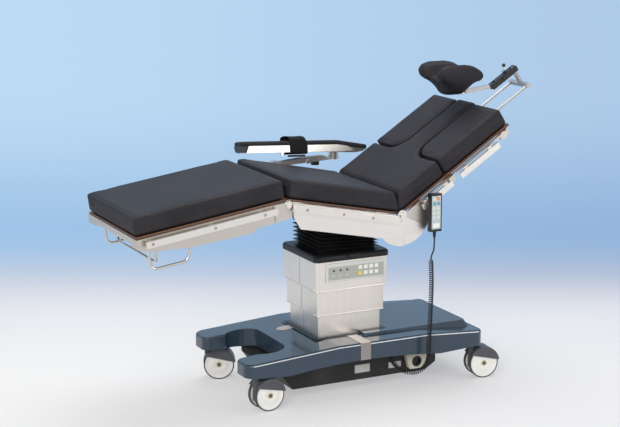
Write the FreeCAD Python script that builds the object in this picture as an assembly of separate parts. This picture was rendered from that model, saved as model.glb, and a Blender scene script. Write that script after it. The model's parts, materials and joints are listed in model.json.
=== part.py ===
"""Mobile operating table on a telescopic column, with a jointed top, arm board, headrest and handset.

Millimetres and degrees. X runs to the head end, Y to the far side, Z up from the floor.
The origin is on the floor under the column's axis. The table stands in its pictured pose.
"""

import FreeCAD
import Part
import math
import os

V = FreeCAD.Vector

# Castors
WHEEL_D = 125.0
WHEEL_WIDTH = 18.0
WHEEL_SPACING = 50.0
TYRE_DEPTH = 5.5
AXLE_R = 6.0
RUNNING_GAP = 0.05
CASTOR_TRAIL = 45.0
HOOD_GAP = 3.0
HOOD_WALL = 3.0
WEB_HALF = 13.0
SWIVEL_BOSS_R = 13.0
SWIVEL_PIN_R = 10.0
CASTOR_FOOT_X = -465.0
CASTOR_HEAD_X = 510.0
CASTOR_Y = 238.0
CASTOR_YAW = {"foot_near": 5.4, "foot_far": -21.6, "head_near": -6.6, "head_far": 14.0}

# Base: steel chassis under a moulded cover
BASE_FOOT_X = -516.0
BASE_HEAD_X = 552.0
BASE_HALF_WIDTH = 275.0
DECK_Z = 222.0
DECK_FOOT_Z = 194.0
DECK_HEAD_Z = 203.0
DECK_SLOPE_FOOT_X = -118.0
DECK_SLOPE_HEAD_X = 280.0
SKIRT_END_Z = 142.0
SKIRT_LOW_Z = 132.0
SKIRT_HIGH_Z = 153.0
SKIRT_LOW_FOOT_X = -334.0
SKIRT_LOW_HEAD_X = 341.0
COVER_WALL = 4.0
COVER_EDGE_R = 10.0
TIP_HALF_GAP = 152.0
NOTCH_HALF_WIDTH = 178.0
NOTCH_X = (-440.0, -288.0)
NOTCH_R = 71.0
PLATEAU_Z = 231.0
PLATEAU_X = (40.0, 512.0)
PLATEAU_HALF_WIDTH = 183.0
PLATEAU_DRAFT = 30.0
STRIP_X = (-26.0, 19.0)
STRIP_T = 1.5
BEAM_Y = (216.0, 260.0)
BEAM_Z = (146.0, 186.0)
BEAM_WALL = 3.0
TUB_X = (-335.0, 368.0)
TUB_HALF_WIDTH = 190.0
TUB_NOSE_X = -258.0
TUB_NOSE_DROP = 18.0
TUB_FLOOR_Z = 45.0
TUB_WALL = 3.0
SOCKET_X = 268.0
SOCKET_Z = 92.0
SOCKET_HOLE_R = 17.0

# Lift column: three nested covers round a guide tube
COVER_T = 2.0
COLUMN_HALF_X = 160.0
COLUMN_HALF_Y = 150.0
COLUMN_STEP = 9.5
COLUMN_CORNER_R = 7.0
UPPER_Z = (413.0, 536.0)
MIDDLE_Z = (310.0, 430.0)
LOWER_Z = (222.0, 351.0)
FLANGE_H = 6.0
SLIDE_GAP = 0.4
CAP_Z = (536.0, 561.0)
CAP_OVERHANG = 8.0
CAP_CORNER_R = 22.0
PANEL_X = (-120.0, 144.0)
PANEL_Z = (450.0, 526.0)
PANEL_T = 4.0
GUIDE_OUTER = 122.0
GUIDE_WALL = 8.0
GUIDE_OUTER_Z = (62.0, 325.0)
GUIDE_INNER_Z = (240.0, 515.0)
CYLINDER_R = 31.0
RAM_R = 16.0
HEAD_PLATE_T = 18.0

# Tilting head above the column
TREND_Z = 640.0
TREND_PIN_R = 15.0
POST_Y = (60.0, 82.0)
CRADLE_HALF = 33.0
TILT_PIN_R = 14.0
HANGER_U = (70.0, 84.0)
HANGER_HALF_WIDTH = 42.0
BELLOWS_HALF_X = 133.0
BELLOWS_HALF_Y = 124.0
BELLOWS_PLEAT = 17.0
BELLOWS_SKIN = 2.5
BELLOWS_MIDDLE_Z = 630.0
SEAT_RING_SHIFT = 11.6

# Table top, common to its sections
TOP_HALF_WIDTH = 261.0
CUSHION_T = 79.0
CUSHION_R = 12.0
CUSHION_GAP = 1.5
BOARD_T = 8.0
BOARD_INSET = 3.0
BOARD_HINGE_GAP = 5.0
RAIL_H = 25.0
RAIL_T = 10.0
RAIL_Y = 285.0
RAIL_W = -29.0
SPACER_R = 8.0
SCREW_R = 4.0

# Seat section; its own x starts at the leg end, its own z at the cushion's underside
SEAT_LENGTH = 503.0
SEAT_X = -335.3
SEAT_Z = 830.1
SEAT_PITCH = 11.54
SIDE_PLATE_Y = (262.0, 268.0)
SIDE_PLATE_DEPTH = 75.0
CROSS_W = (-60.0, -30.0)
SEAT_COVER_Y = (277.3, 279.3)
SEAT_COVER_DEPTH = 107.0
SEAT_RAIL_U = (14.0, 487.0)
SEAT_SCREWS_U = (72.0, 232.0, 363.0)

# Leg section
LEG_LENGTH = 619.0
LEG_SLOPE = 8.28
LEG_PIVOT_DEPTH = 20.0
LEG_ARM_Y = (268.6, 273.6)
LEG_SHEET_T = 3.0
LEG_RAIL_U = (55.0, 592.0)
LEG_SCREWS_U = (110.0, 316.0, 566.0)
HANDLE_R = 5.5
HANDLE_BEND = 26.0
HANDLE_Y = 240.0
HANDLE_DEPTH = 141.0
CROSS_HANDLE_Y = 210.0

# Back section with removable shoulder cushions
BACK_LENGTH = 597.0
BACK_RISE = 32.8
BACK_PIVOT_DEPTH = 6.0
BACK_PIN_R = 8.0
BACK_CRANK_Y = (268.6, 272.6)
FAN_Y = (273.2, 274.7)
FAN_FIXED_Y = (275.3, 276.8)
FAN_R = 125.0
BACK_SPLIT_U = 248.0
TONGUE_HALF_WIDTH = 66.0
SHOULDER_R = 75.0
CUSHION_WEDGE = 30.0
BACK_RAIL_LOWER_U = (84.0, 245.0)
BACK_RAIL_UPPER_U = (290.0, 500.0)
BACK_STEP_Y = 272.6
ROD_R = 5.5
ROD_Y = 60.0
ROD_W = -20.0
ROD_END_U = 845.0
ROD_INSIDE = 230.0

# Headrest
POST_R = 6.0
LINK_HEIGHT = 50.0
LINK_UPPER_L = 118.0
LINK_LOWER_L = 132.0
LINK_LOWER_ANGLE = 154.2
PAD_HALF_X = 100.0
PAD_BASE_Z = 2.0
PAD_X_FROM_LINK = -75.0
LEVER_U = 42.0
LEVER_H = 19.0
LEVER_L = 26.0
LEVER_BALL_R = 8.0

# Arm board on the far rail
ARM_CLAMP_U = 235.0
ARM_POST_Y = 336.0
ARM_POST_R = 10.0
ARM_BEAM_HALF = 14.0
ARM_BEAM_Z = (838.0, 849.6)
ARM_JOINT_X = 198.0
ARM_JOINT_Y = 400.0
ARM_JOINT_PIN_R = 10.0
ARM_KNOB_R = 18.0
ARM_KNOB_X = 100.0
ARM_KNOB_Y = 379.7
ARM_BOARD_Z = 900.4
ARM_BOARD_Y = 386.0
ARM_BOARD_HALF_WIDTH = 46.0
ARM_BOARD_SLOPE = -3.3
ARM_BOARD_ROLL = -10.0
ARM_PAD_T = 20.0
ARM_PAD_L = 454.0
ARM_RAIL_H = 29.0
ARM_RAIL_T = 12.0
ARM_TAIL_L = 140.0
ARM_TAIL_HALF = 30.0
ARM_TAIL_DROP = 22.0
STRAP_L = (-236.0, -150.0)
STRAP_T = 2.5
STRAP_RISE = 18.0

# Handset on its hook, and its curly cord
HANDSET_W = 51.0
HANDSET_H = 152.0
HANDSET_T = 24.0
HANDSET_Y = -298.0
HANDSET_HOOK_U = 146.0
HOOK_R = 3.0
LEAD_R = 3.0
CURL_R = 9.0
LEAD_POINTS = [(283.0, -309.0, 626.4), (282.4, -310.0, 602.0), (279.6, -311.0, 577.0),
               (270.0, -312.0, 558.0), (266.5, -312.0, 542.2)]
CURL_POINTS = [(266.5, -312.0, 541.1), (271.0, -312.0, 440.0), (268.0, -312.0, 310.0),
               (264.0, -312.0, 190.0), (262.0, -312.0, 120.0), (225.0, -309.0, 81.0),
               (171.0, -296.0, 80.0), (134.0, -266.0, 106.0), (125.0, -243.0, 140.0)]


def frame(x, z, angle):
    """A frame in the x-z plane whose own x axis rises by the angle."""
    return FreeCAD.Placement(V(x, 0, z), FreeCAD.Rotation(V(0, 1, 0), -angle))


def put(shape, place):
    """The shape carried from a frame's own axes to the floor's."""
    moved = shape.copy()
    moved.Placement = place.multiply(moved.Placement)
    return moved


SEAT = frame(SEAT_X, SEAT_Z, -SEAT_PITCH)
LEG_HINGE = SEAT.multiply(frame(0, -LEG_PIVOT_DEPTH, LEG_SLOPE + SEAT_PITCH))
LEG = LEG_HINGE.multiply(frame(0, LEG_PIVOT_DEPTH, 0))
BACK_HINGE = SEAT.multiply(frame(SEAT_LENGTH, -BACK_PIVOT_DEPTH, BACK_RISE + SEAT_PITCH))
BACK = BACK_HINGE.multiply(frame(0, BACK_PIVOT_DEPTH, 0))
CENTRE = frame(0, TREND_Z, -SEAT_PITCH)
CENTRE_IN_SEAT = SEAT.inverse().multVec(CENTRE.Base)
LINK_TOP = BACK.multiply(frame(ROD_END_U + 5, LINK_HEIGHT, 180))
LINK_KNEE = LINK_TOP.multiply(frame(LINK_UPPER_L, 0, LINK_LOWER_ANGLE - 180))
LINK_END = LINK_KNEE.multiply(frame(LINK_LOWER_L, 0, 0))
PAD = FreeCAD.Placement(LINK_END.Base, FreeCAD.Rotation())
ARM_CLAMP = SEAT.multiply(frame(ARM_CLAMP_U, RAIL_W, SEAT_PITCH))
HOOK = BACK.multiply(frame(HANDSET_HOOK_U, RAIL_W + RAIL_H / 2 + HOOK_R + 0.3, -BACK_RISE))
ARM_BOARD = FreeCAD.Placement(V(ARM_JOINT_X, ARM_BOARD_Y, ARM_BOARD_Z),
                              FreeCAD.Rotation(V(1, 0, 0), ARM_BOARD_ROLL))
ARM_BOARD = ARM_BOARD.multiply(frame(0, 0, ARM_BOARD_SLOPE))


def box(x, y, z):
    """A block between the low and high values of each axis."""
    return Part.makeBox(x[1] - x[0], y[1] - y[0], z[1] - z[0], V(x[0], y[0], z[0]))


def outline(plane, points, level):
    """A closed wire in a plane; a point of three items is an arc's middle and its end."""
    spot = {"XY": lambda a, b: V(a, b, level), "XZ": lambda a, b: V(a, level, b),
            "YZ": lambda a, b: V(level, a, b)}[plane]
    edges = []
    last = spot(*points[0])
    for step in list(points[1:]) + [points[0]]:
        if len(step) == 4:
            end = spot(step[2], step[3])
            edges.append(Part.Arc(last, spot(step[0], step[1]), end).toShape())
        else:
            end = spot(*step)
            edges.append(Part.makeLine(last, end))
        last = end
    return Part.Wire(edges)


def slab(plane, points, low, high):
    """An outline drawn out square to its plane, from the low level to the high one."""
    across = {"XY": V(0, 0, 1), "XZ": V(0, 1, 0), "YZ": V(1, 0, 0)}[plane]
    return Part.Face(outline(plane, points, low)).extrude(across * (high - low))


def rod(start, end, radius):
    """A round bar between two points."""
    start = V(*start)
    run = V(*end) - start
    return Part.makeCylinder(radius, run.Length, start, run)


def mirror(shape):
    """The same piece on the other side of the table."""
    return shape.mirror(V(0, 0, 0), V(0, 1, 0))


def join(shapes):
    """One solid from several."""
    return shapes[0].fuse(shapes[1:]).removeSplitter()


def group(shapes):
    """Separate solids that share a node."""
    return Part.Compound([solid for shape in shapes for solid in shape.Solids])


def rounded(shape, radius, direction):
    """The shape with its edges along a direction rounded."""
    edges = [e for e in shape.Edges if isinstance(e.Curve, Part.Line)
             and abs(abs(e.tangentAt(e.FirstParameter).dot(direction)) - 1) < 1e-6]
    return shape.makeFillet(radius, edges)


def bent_rod(points, radius, bends):
    """A round bar along straight runs joined by tangent arcs."""
    spots = [V(*p) for p in points]
    edges = []
    last = spots[0]
    for before, corner, after, bend in zip(spots, spots[1:], spots[2:], bends):
        into = (corner - before).normalize()
        out = (after - corner).normalize()
        turn = into.getAngle(out)
        cut = bend * math.tan(turn / 2)
        start = corner - into * cut
        end = corner + out * cut
        middle = corner + (out - into).normalize() * bend * (1 / math.cos(turn / 2) - 1)
        edges.append(Part.makeLine(last, start))
        edges.append(Part.Arc(start, middle, end).toShape())
        last = end
    edges.append(Part.makeLine(last, spots[-1]))
    path = Part.Wire(edges)
    ring = Part.Wire(Part.makeCircle(radius, spots[0], spots[1] - spots[0]))
    return path.makePipeShell([ring], True, False)


def cord_bends(points):
    """The widest arc that each corner of a cord's route has room for."""
    spots = [V(*p) for p in points]
    bends = []
    for before, corner, after in zip(spots, spots[1:], spots[2:]):
        into = corner - before
        out = after - corner
        bends.append(0.45 * min(into.Length, out.Length) / math.tan(into.getAngle(out) / 2))
    return bends


def castor_frame(name):
    """The frame of a castor: its swivel axis at the floor, trailing along its own x."""
    x = CASTOR_FOOT_X if name.startswith("foot") else CASTOR_HEAD_X
    y = -CASTOR_Y if name.endswith("near") else CASTOR_Y
    return FreeCAD.Placement(V(x, y, 0), FreeCAD.Rotation(V(0, 0, 1), CASTOR_YAW[name]))


def castor_housing():
    """Hood over both wheels, with the web, axle and swivel pin that carry them."""
    radius = WHEEL_D / 2
    centre = V(CASTOR_TRAIL, 0, radius)
    half = WHEEL_SPACING / 2 + WHEEL_WIDTH / 2 + 1.5
    outside = half + HOOD_WALL
    hood_r = radius + HOOD_GAP + HOOD_WALL
    hood = Part.makeCylinder(hood_r, 2 * outside, centre - V(0, outside, 0), V(0, 1, 0))
    edges = [e for e in hood.Edges if isinstance(e.Curve, Part.Circle)]
    hood = hood.makeFillet(HOOD_WALL, edges)
    keep = slab("XZ", [(centre.x - 75, centre.z + 42), (centre.x - 46, centre.z + 36),
                       (centre.x + 75, centre.z + 8), (centre.x + 75, centre.z + 90),
                       (centre.x - 75, centre.z + 90)], -60, 60)
    hood = hood.common(keep)
    for side in (-1, 1):
        start = centre + V(0, side * WEB_HALF, 0)
        hood = hood.cut(Part.makeCylinder(radius + HOOD_GAP, half - WEB_HALF, start, V(0, side, 0)))
    web = Part.makeCylinder(radius * 0.7, 2 * WEB_HALF, centre - V(0, WEB_HALF, 0), V(0, 1, 0))
    neck = box((0, CASTOR_TRAIL), (-WEB_HALF, WEB_HALF), (radius - 14, radius + 54))
    boss = Part.makeCylinder(SWIVEL_BOSS_R, BEAM_Z[0] - 0.4 - radius + 18, V(0, 0, radius - 18))
    for side in (-1, 1):
        spot = V(CASTOR_TRAIL, side * WEB_HALF, radius)
        reach = half - WEB_HALF
        boss = boss.cut(Part.makeCylinder(radius + HOOD_GAP, reach, spot, V(0, side, 0)))
    axle = rod((centre.x, -half, centre.z), (centre.x, half, centre.z), AXLE_R)
    pin = rod((0, 0, radius), (0, 0, BEAM_Z[1] + 3), SWIVEL_PIN_R)
    return join([hood, web, neck, boss, axle, pin])


def castor_wheel(side):
    """One wheel of a twin castor: a dished disc and the tyre round it."""
    radius = WHEEL_D / 2
    half = WHEEL_WIDTH / 2
    rim = radius - TYRE_DEPTH
    bore = AXLE_R + RUNNING_GAP
    disc = [(bore, -half), (16, -half), (18, -half + 4), (rim - 8, -half + 4), (rim - 6, -half),
            (rim, -half), (rim, half), (rim - 5, half), (rim - 12, half - 3), (20, half - 2),
            (16, half), (bore, half)]
    tyre = [(rim, -half), (radius - 2, -half), (radius, -half + 2.5), (radius, half - 2.5),
            (radius - 2, half), (rim, half)]
    centre = V(CASTOR_TRAIL, side * WHEEL_SPACING / 2, radius)
    solids = []
    for profile in (disc, tyre):
        points = [(r, side * w) for r, w in profile]
        ring = Part.Face(outline("XY", points, 0)).revolve(V(0, 0, 0), V(0, 1, 0), 360)
        ring.translate(centre)
        solids.append(ring)
    return group(solids)


def base_form(inset, plateau=True):
    """The moulded cover's outer form, or a copy of it drawn in all round by the inset."""
    width = BASE_HALF_WIDTH - inset
    foot = BASE_FOOT_X + inset
    head = BASE_HEAD_X - inset
    bottom = -60.0 if inset > 0 else 0.0
    middle_x = (SKIRT_LOW_FOOT_X + SKIRT_LOW_HEAD_X) / 2
    side = slab("XZ", [(foot, SKIRT_END_Z + bottom), (SKIRT_LOW_FOOT_X, SKIRT_LOW_Z + bottom),
                       (middle_x, SKIRT_HIGH_Z + bottom, SKIRT_LOW_HEAD_X, SKIRT_LOW_Z + bottom),
                       (head, SKIRT_END_Z + bottom), (head, DECK_HEAD_Z - inset),
                       (DECK_SLOPE_HEAD_X, DECK_Z - inset), (DECK_SLOPE_FOOT_X, DECK_Z - inset),
                       (foot, DECK_FOOT_Z - inset)], -width, width)
    plan = box((foot, head), (-width, width), (0, 400))
    plan = rounded(plan, 42.0 - inset, V(0, 0, 1))
    notch = box((NOTCH_X[0] - inset, NOTCH_X[1] + inset),
                (-NOTCH_HALF_WIDTH - inset, NOTCH_HALF_WIDTH + inset), (0, 400))
    notch = rounded(notch, NOTCH_R, V(0, 0, 1))
    gap = TIP_HALF_GAP + inset
    mouth = box((BASE_FOOT_X - 50, NOTCH_X[0] + NOTCH_R), (-gap, gap), (0, 400))
    plan = plan.cut(notch.fuse(mouth))
    tips = [e for e in plan.Edges if e.BoundBox.ZLength > 300 and e.BoundBox.XLength < 1e-6
            and abs(e.BoundBox.XMin - foot) < 1 and abs(abs(e.BoundBox.YMin) - gap) < 1]
    plan = plan.makeFillet(30.0, tips)
    form = side.common(plan)
    if plateau:
        form = form.fuse(plateau_form(inset)).removeSplitter()
    return form


def plateau_form(inset):
    """The raised deck behind the column, with sides that slope down to the main deck."""
    low = DECK_HEAD_Z - 8
    rings = []
    for z, spread in ((low, PLATEAU_DRAFT), (PLATEAU_Z - inset, 0.0)):
        x = (PLATEAU_X[0] + inset, PLATEAU_X[1] + spread * 0.5 - inset)
        y = PLATEAU_HALF_WIDTH + spread - inset
        rings.append(outline("XY", [(x[0], -y), (x[1], -y), (x[1], y), (x[0], y)], z))
    form = Part.makeLoft(rings, True, True)
    edges = [e for e in form.Edges if e.BoundBox.ZLength > 10 and e.BoundBox.XMax > 300]
    return form.makeFillet(20.0, edges)


def base_shell():
    """The whole moulded cover before it is parted under the steel strip."""
    outer = base_form(0)
    top = []
    for face in outer.Faces:
        middle = face.CenterOfMass
        if face.normalAt(0, 0).z > 0.95 and middle.z < PLATEAU_Z - 1:
            for edge in face.Edges:
                flat = edge.BoundBox.ZLength < 50
                side = abs(edge.CenterOfMass.y) > BASE_HALF_WIDTH - 2
                if flat and side:
                    top.append(edge)
    outer = outer.makeFillet(COVER_EDGE_R, top)
    return outer.cut(base_form(COVER_WALL))


def column_hole():
    """The way through the cover for the column's lowest cover."""
    half_x = COLUMN_HALF_X - 2 * COLUMN_STEP
    half_y = COLUMN_HALF_Y - 2 * COLUMN_STEP
    return box((-half_x - 3, half_x + 3), (-half_y - 3, half_y + 3), (100, 300))


def base_covers():
    """Foot and head halves of the cover, which part under the steel strip."""
    shell = base_shell().cut(column_hole())
    split = sum(STRIP_X) / 2
    foot = shell.common(box((-700, split - 0.25), (-400, 400), (0, 400)))
    head = shell.common(box((split + 0.25, 700), (-400, 400), (0, 400)))
    return foot, head


def base_strip():
    """Stainless strips that cover the joint down both sides and over the deck."""
    outer = base_form(-STRIP_T)
    strip = outer.cut(base_form(0)).common(box(STRIP_X, (-400, 400), (SKIRT_HIGH_Z - 4, 400)))
    return strip.cut(box((-300, 300), (-COLUMN_HALF_Y, COLUMN_HALF_Y), (100, 400)))


def chassis():
    """Welded frame: two side beams, cross beams, base plate and posts for the cover."""
    x = (BASE_FOOT_X + 50, BASE_HEAD_X - 25)
    pieces = []
    for side in (-1, 1):
        y = sorted((side * BEAM_Y[0], side * BEAM_Y[1]))
        pieces.append(box(x, y, BEAM_Z))
    inner = (-BEAM_Y[0], BEAM_Y[0])
    for cross_x in ((-262, -222), (215, 255), (430, 470)):
        pieces.append(box(cross_x, inner, BEAM_Z))
    pieces.append(box((-222, 215), inner, (BEAM_Z[0], BEAM_Z[0] + 12)))
    for post_x in (-95.0, 95.0):
        for post_y in (-200.0, 200.0):
            pieces.append(rod((post_x, post_y, BEAM_Z[0]), (post_x, post_y, DECK_Z - COVER_WALL), 9))
    for post_y in (-120.0, 120.0):
        pieces.append(rod((450, post_y, BEAM_Z[0]), (450, post_y, PLATEAU_Z - COVER_WALL), 9))
    welded = join(pieces)
    half = GUIDE_OUTER / 2
    welded = welded.cut(box((-half, half), (-half, half), (0, 300)))
    for side in (-1, 1):
        y = sorted((side * (BEAM_Y[0] + BEAM_WALL), side * (BEAM_Y[1] - BEAM_WALL)))
        z = (BEAM_Z[0] + BEAM_WALL, BEAM_Z[1] - BEAM_WALL)
        for hollow_x in ((-420, -290), (-200, 200), (270, 415)):
            welded = welded.cut(box(hollow_x, y, z))
    bushes = []
    for name in CASTOR_YAW:
        spot = castor_frame(name).Base
        bushes.append(Part.makeCylinder(13.5, BEAM_Z[1] - BEAM_Z[0], spot + V(0, 0, BEAM_Z[0])))
    welded = join([welded] + bushes)
    for name in CASTOR_YAW:
        spot = castor_frame(name).Base
        welded = welded.cut(Part.makeCylinder(SWIVEL_PIN_R + RUNNING_GAP, 100, spot + V(0, 0, 120)))
    return welded


def base_tub():
    """Dark tray under the chassis, with the control box in it and the cord's gland."""
    top = BEAM_Z[0]
    step = top - TUB_NOSE_DROP
    depth = [(TUB_X[0], step), (TUB_X[0], top - 35), (TUB_X[0] + 50, TUB_FLOOR_Z),
             (TUB_X[1] - 46, TUB_FLOOR_Z), (TUB_X[1], TUB_FLOOR_Z + 28), (TUB_X[1], top),
             (TUB_NOSE_X, top), (TUB_NOSE_X, step)]
    wall = TUB_WALL
    inside = [(TUB_X[0] + wall, step - wall), (TUB_X[0] + wall, top - 33), (TUB_X[0] + 52, TUB_FLOOR_Z + wall),
              (TUB_X[1] - 48, TUB_FLOOR_Z + wall), (TUB_X[1] - wall, TUB_FLOOR_Z + 29),
              (TUB_X[1] - wall, top + 9), (TUB_NOSE_X + wall, top + 9), (TUB_NOSE_X + wall, step - wall)]
    width = TUB_HALF_WIDTH
    tray = slab("XZ", depth, -width, width).cut(slab("XZ", inside, wall - width, width - wall))
    floor = TUB_FLOOR_Z + wall
    half = GUIDE_OUTER / 2
    tray = tray.cut(box((-half - 2, half + 2), (-half - 2, half + 2), (0, 60)))
    foot = box((-half - 12, half + 12), (-half - 12, half + 12), (floor, floor + 4))
    foot = foot.cut(box((-half, half), (-half, half), (0, 90)))
    control = rounded(box((110, 330), (-120, 120), (floor, floor + 70)), 10, V(0, 0, 1))
    battery = rounded(box((-250, -110), (-130, 130), (floor, floor + 80)), 8, V(0, 0, 1))
    end = V(*CURL_POINTS[-1])
    into = (end - V(*CURL_POINTS[-2])).normalize()
    gland = Part.makeCylinder(CURL_R + 2, 26, end, into)
    gland = gland.common(box((0, 300), (-300, -200), (100, BEAM_Z[0])))
    return group([tray, foot, control, battery, gland])


def power_socket():
    """Pale housing on the tray's near wall, with the round black socket in it."""
    front = -TUB_HALF_WIDTH - 22
    shape = [(SOCKET_X - 52, SOCKET_Z + 38), (SOCKET_X - 34, SOCKET_Z - 30),
             (SOCKET_X + 34, SOCKET_Z - 30), (SOCKET_X + 52, SOCKET_Z + 38)]
    housing = slab("XZ", shape, front, -TUB_HALF_WIDTH)
    housing = rounded(housing, 10, V(0, 1, 0))
    spot = V(SOCKET_X, front - 1, SOCKET_Z)
    housing = housing.cut(Part.makeCylinder(SOCKET_HOLE_R + 6, 17, spot, V(0, 1, 0)))
    ring = Part.makeCylinder(SOCKET_HOLE_R + 6, 15, V(SOCKET_X, front + 1, SOCKET_Z), V(0, 1, 0))
    ring = ring.cut(Part.makeCylinder(SOCKET_HOLE_R, 12, V(SOCKET_X, front, SOCKET_Z), V(0, 1, 0)))
    pins = [rod((SOCKET_X + 7 * math.cos(t), front + 5, SOCKET_Z + 7 * math.sin(t)),
                (SOCKET_X + 7 * math.cos(t), front + 14, SOCKET_Z + 7 * math.sin(t)), 2)
            for t in (math.pi / 2, math.pi * 7 / 6, math.pi * 11 / 6)]
    return group([housing, join([ring] + pins)])


def column_sleeve(step, z, flange):
    """One telescoping cover: a square tube with an outward guide flange at its top."""
    half_x = COLUMN_HALF_X - step * COLUMN_STEP
    half_y = COLUMN_HALF_Y - step * COLUMN_STEP
    outer = rounded(box((-half_x, half_x), (-half_y, half_y), z), COLUMN_CORNER_R, V(0, 0, 1))
    if flange:
        reach = COLUMN_STEP - COVER_T - SLIDE_GAP
        ring = box((-half_x - reach, half_x + reach), (-half_y - reach, half_y + reach),
                   (z[1] - FLANGE_H, z[1]))
        outer = outer.fuse(rounded(ring, COLUMN_CORNER_R - 2, V(0, 0, 1)))
    inner_x = half_x - COVER_T
    inner_y = half_y - COVER_T
    inner = box((-inner_x, inner_x), (-inner_y, inner_y), (z[0] - 1, z[1] + 1))
    return outer.cut(rounded(inner, COLUMN_CORNER_R - COVER_T, V(0, 0, 1)))


def column_seal():
    """Rubber frame that closes the gap between the deck and the lowest cover."""
    half_x = COLUMN_HALF_X - 2 * COLUMN_STEP
    half_y = COLUMN_HALF_Y - 2 * COLUMN_STEP
    frame_x = half_x + 16
    frame_y = half_y + 16
    outer = rounded(box((-frame_x, frame_x), (-frame_y, frame_y), (DECK_Z, DECK_Z + 4)), 10, V(0, 0, 1))
    outer = outer.cut(box((PLATEAU_X[0], 400), (-400, 400), (0, 400)))
    rim_x = half_x + 3
    rim_y = half_y + 3
    rim = box((-rim_x, rim_x), (-rim_y, rim_y), (DECK_Z - COVER_WALL - 6, DECK_Z + 4))
    hole = box((-half_x, half_x), (-half_y, half_y), (0, 400))
    lip = box((PLATEAU_X[0], frame_x), (-frame_y, frame_y), (PLATEAU_Z, PLATEAU_Z + 1.5))
    rise = box((PLATEAU_X[0], rim_x), (-rim_y, rim_y), (DECK_Z - 10, PLATEAU_Z + 1.5))
    return join([outer, rim, lip, rise]).cut(hole)


def column_foot():
    """Angle brackets inside the lowest cover, down to the chassis plate."""
    half_x = COLUMN_HALF_X - 2 * COLUMN_STEP - COVER_T
    half_y = COLUMN_HALF_Y - 2 * COLUMN_STEP - COVER_T
    z = (BEAM_Z[0] + 12, LOWER_Z[0] + 20)
    return [box(sorted((sx * half_x, sx * (half_x - 4))), sorted((sy * half_y, sy * (half_y - 40))), z)
            for sx in (-1, 1) for sy in (-1, 1)]


def lift_guide_outer():
    """Fixed guide tube with its flange, and the lift cylinder that stands in it."""
    half = GUIDE_OUTER / 2
    inner = half - GUIDE_WALL
    tube = box((-half, half), (-half, half), GUIDE_OUTER_Z)
    tube = tube.cut(box((-inner, inner), (-inner, inner), (GUIDE_OUTER_Z[0] + 8, 400)))
    plate_z = (BEAM_Z[0] + 12, BEAM_Z[0] + 24)
    flange = box((-half - 30, half + 30), (-half - 30, half + 30), plate_z)
    flange = flange.cut(box((-half, half), (-half, half), (0, 400)))
    tube = tube.fuse(flange).removeSplitter()
    base = GUIDE_OUTER_Z[0] + 8
    cylinder = Part.makeCylinder(CYLINDER_R, 225, V(0, 0, base))
    cylinder = cylinder.cut(Part.makeCylinder(RAM_R + RUNNING_GAP, 225, V(0, 0, base + 10)))
    return group([tube, cylinder])


def lift_guide_inner():
    """Sliding guide tube with the head plate, the tilt posts and the lift ram."""
    half = GUIDE_OUTER / 2 - GUIDE_WALL - SLIDE_GAP
    inner = half - GUIDE_WALL
    tube = box((-half, half), (-half, half), GUIDE_INNER_Z)
    tube = tube.cut(box((-inner, inner), (-inner, inner), (0, 600)))
    top = (GUIDE_INNER_Z[1], GUIDE_INNER_Z[1] + HEAD_PLATE_T)
    pieces = [tube, box((-120, 120), (-115, 115), top)]
    for side in (-1, 1):
        y = sorted((side * POST_Y[0], side * POST_Y[1]))
        post = box((-26, 26), y, (top[0], TREND_Z))
        eye = Part.makeCylinder(26, POST_Y[1] - POST_Y[0], V(0, y[0], TREND_Z), V(0, 1, 0))
        pieces += [post, eye]
    head = join(pieces)
    bore = Part.makeCylinder(TREND_PIN_R + RUNNING_GAP, 300, V(0, -150, TREND_Z), V(0, 1, 0))
    head = head.cut(bore)
    ram = Part.makeCylinder(RAM_R, top[0] - 255, V(0, 0, 255))
    return group([head, ram])


def column_cap():
    """Black moulded cap over the upper cover, open in the middle for the tilt posts."""
    half_x = COLUMN_HALF_X + CAP_OVERHANG
    half_y = COLUMN_HALF_Y + CAP_OVERHANG
    cap = rounded(box((-half_x, half_x), (-half_y, half_y), CAP_Z), CAP_CORNER_R, V(0, 0, 1))
    rim = [e for e in cap.Edges if e.BoundBox.ZLength < 1e-6 and abs(e.BoundBox.ZMin - CAP_Z[1]) < 1e-6]
    cap = cap.makeChamfer(7, rim)
    cap = cap.cut(box((-64, 64), (-POST_Y[1] - 8, POST_Y[1] + 8), (500, 600)))
    latch = box((20, 62), (-half_y - 2, -half_y + 4), (CAP_Z[0] + 4, CAP_Z[1] - 8))
    hollow = box((-112, 112), (-107, 107), (CAP_Z[0] - 1, CAP_Z[0] + 8))
    feet = [box((-118, -90), (-100, 100), (GUIDE_INNER_Z[1] + HEAD_PLATE_T, CAP_Z[0] + 10)),
            box((90, 118), (-100, 100), (GUIDE_INNER_Z[1] + HEAD_PLATE_T, CAP_Z[0] + 10))]
    return join([cap.cut(hollow), latch] + feet)


def control_panel():
    """Silver panel on the upper cover, its membrane plate and the raised keys."""
    face = -COLUMN_HALF_Y
    plate = rounded(box(PANEL_X, (face - PANEL_T, face), PANEL_Z), 5, V(0, 1, 0))
    skin_y = (face - PANEL_T - 1, face - PANEL_T)
    skin = rounded(box((PANEL_X[0] + 11, PANEL_X[1] - 4), skin_y, (PANEL_Z[0] + 9, PANEL_Z[1] - 14)),
                   3, V(0, 1, 0))
    keys = []
    for column in range(4):
        for row in range(2):
            x = PANEL_X[0] + 154 + column * 23
            z = PANEL_Z[0] + 19 + row * 24
            keys.append(box((x, x + 16), (skin_y[0] - 0.8, skin_y[0]), (z, z + 15)))
    return group([plate, skin] + keys)


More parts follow.
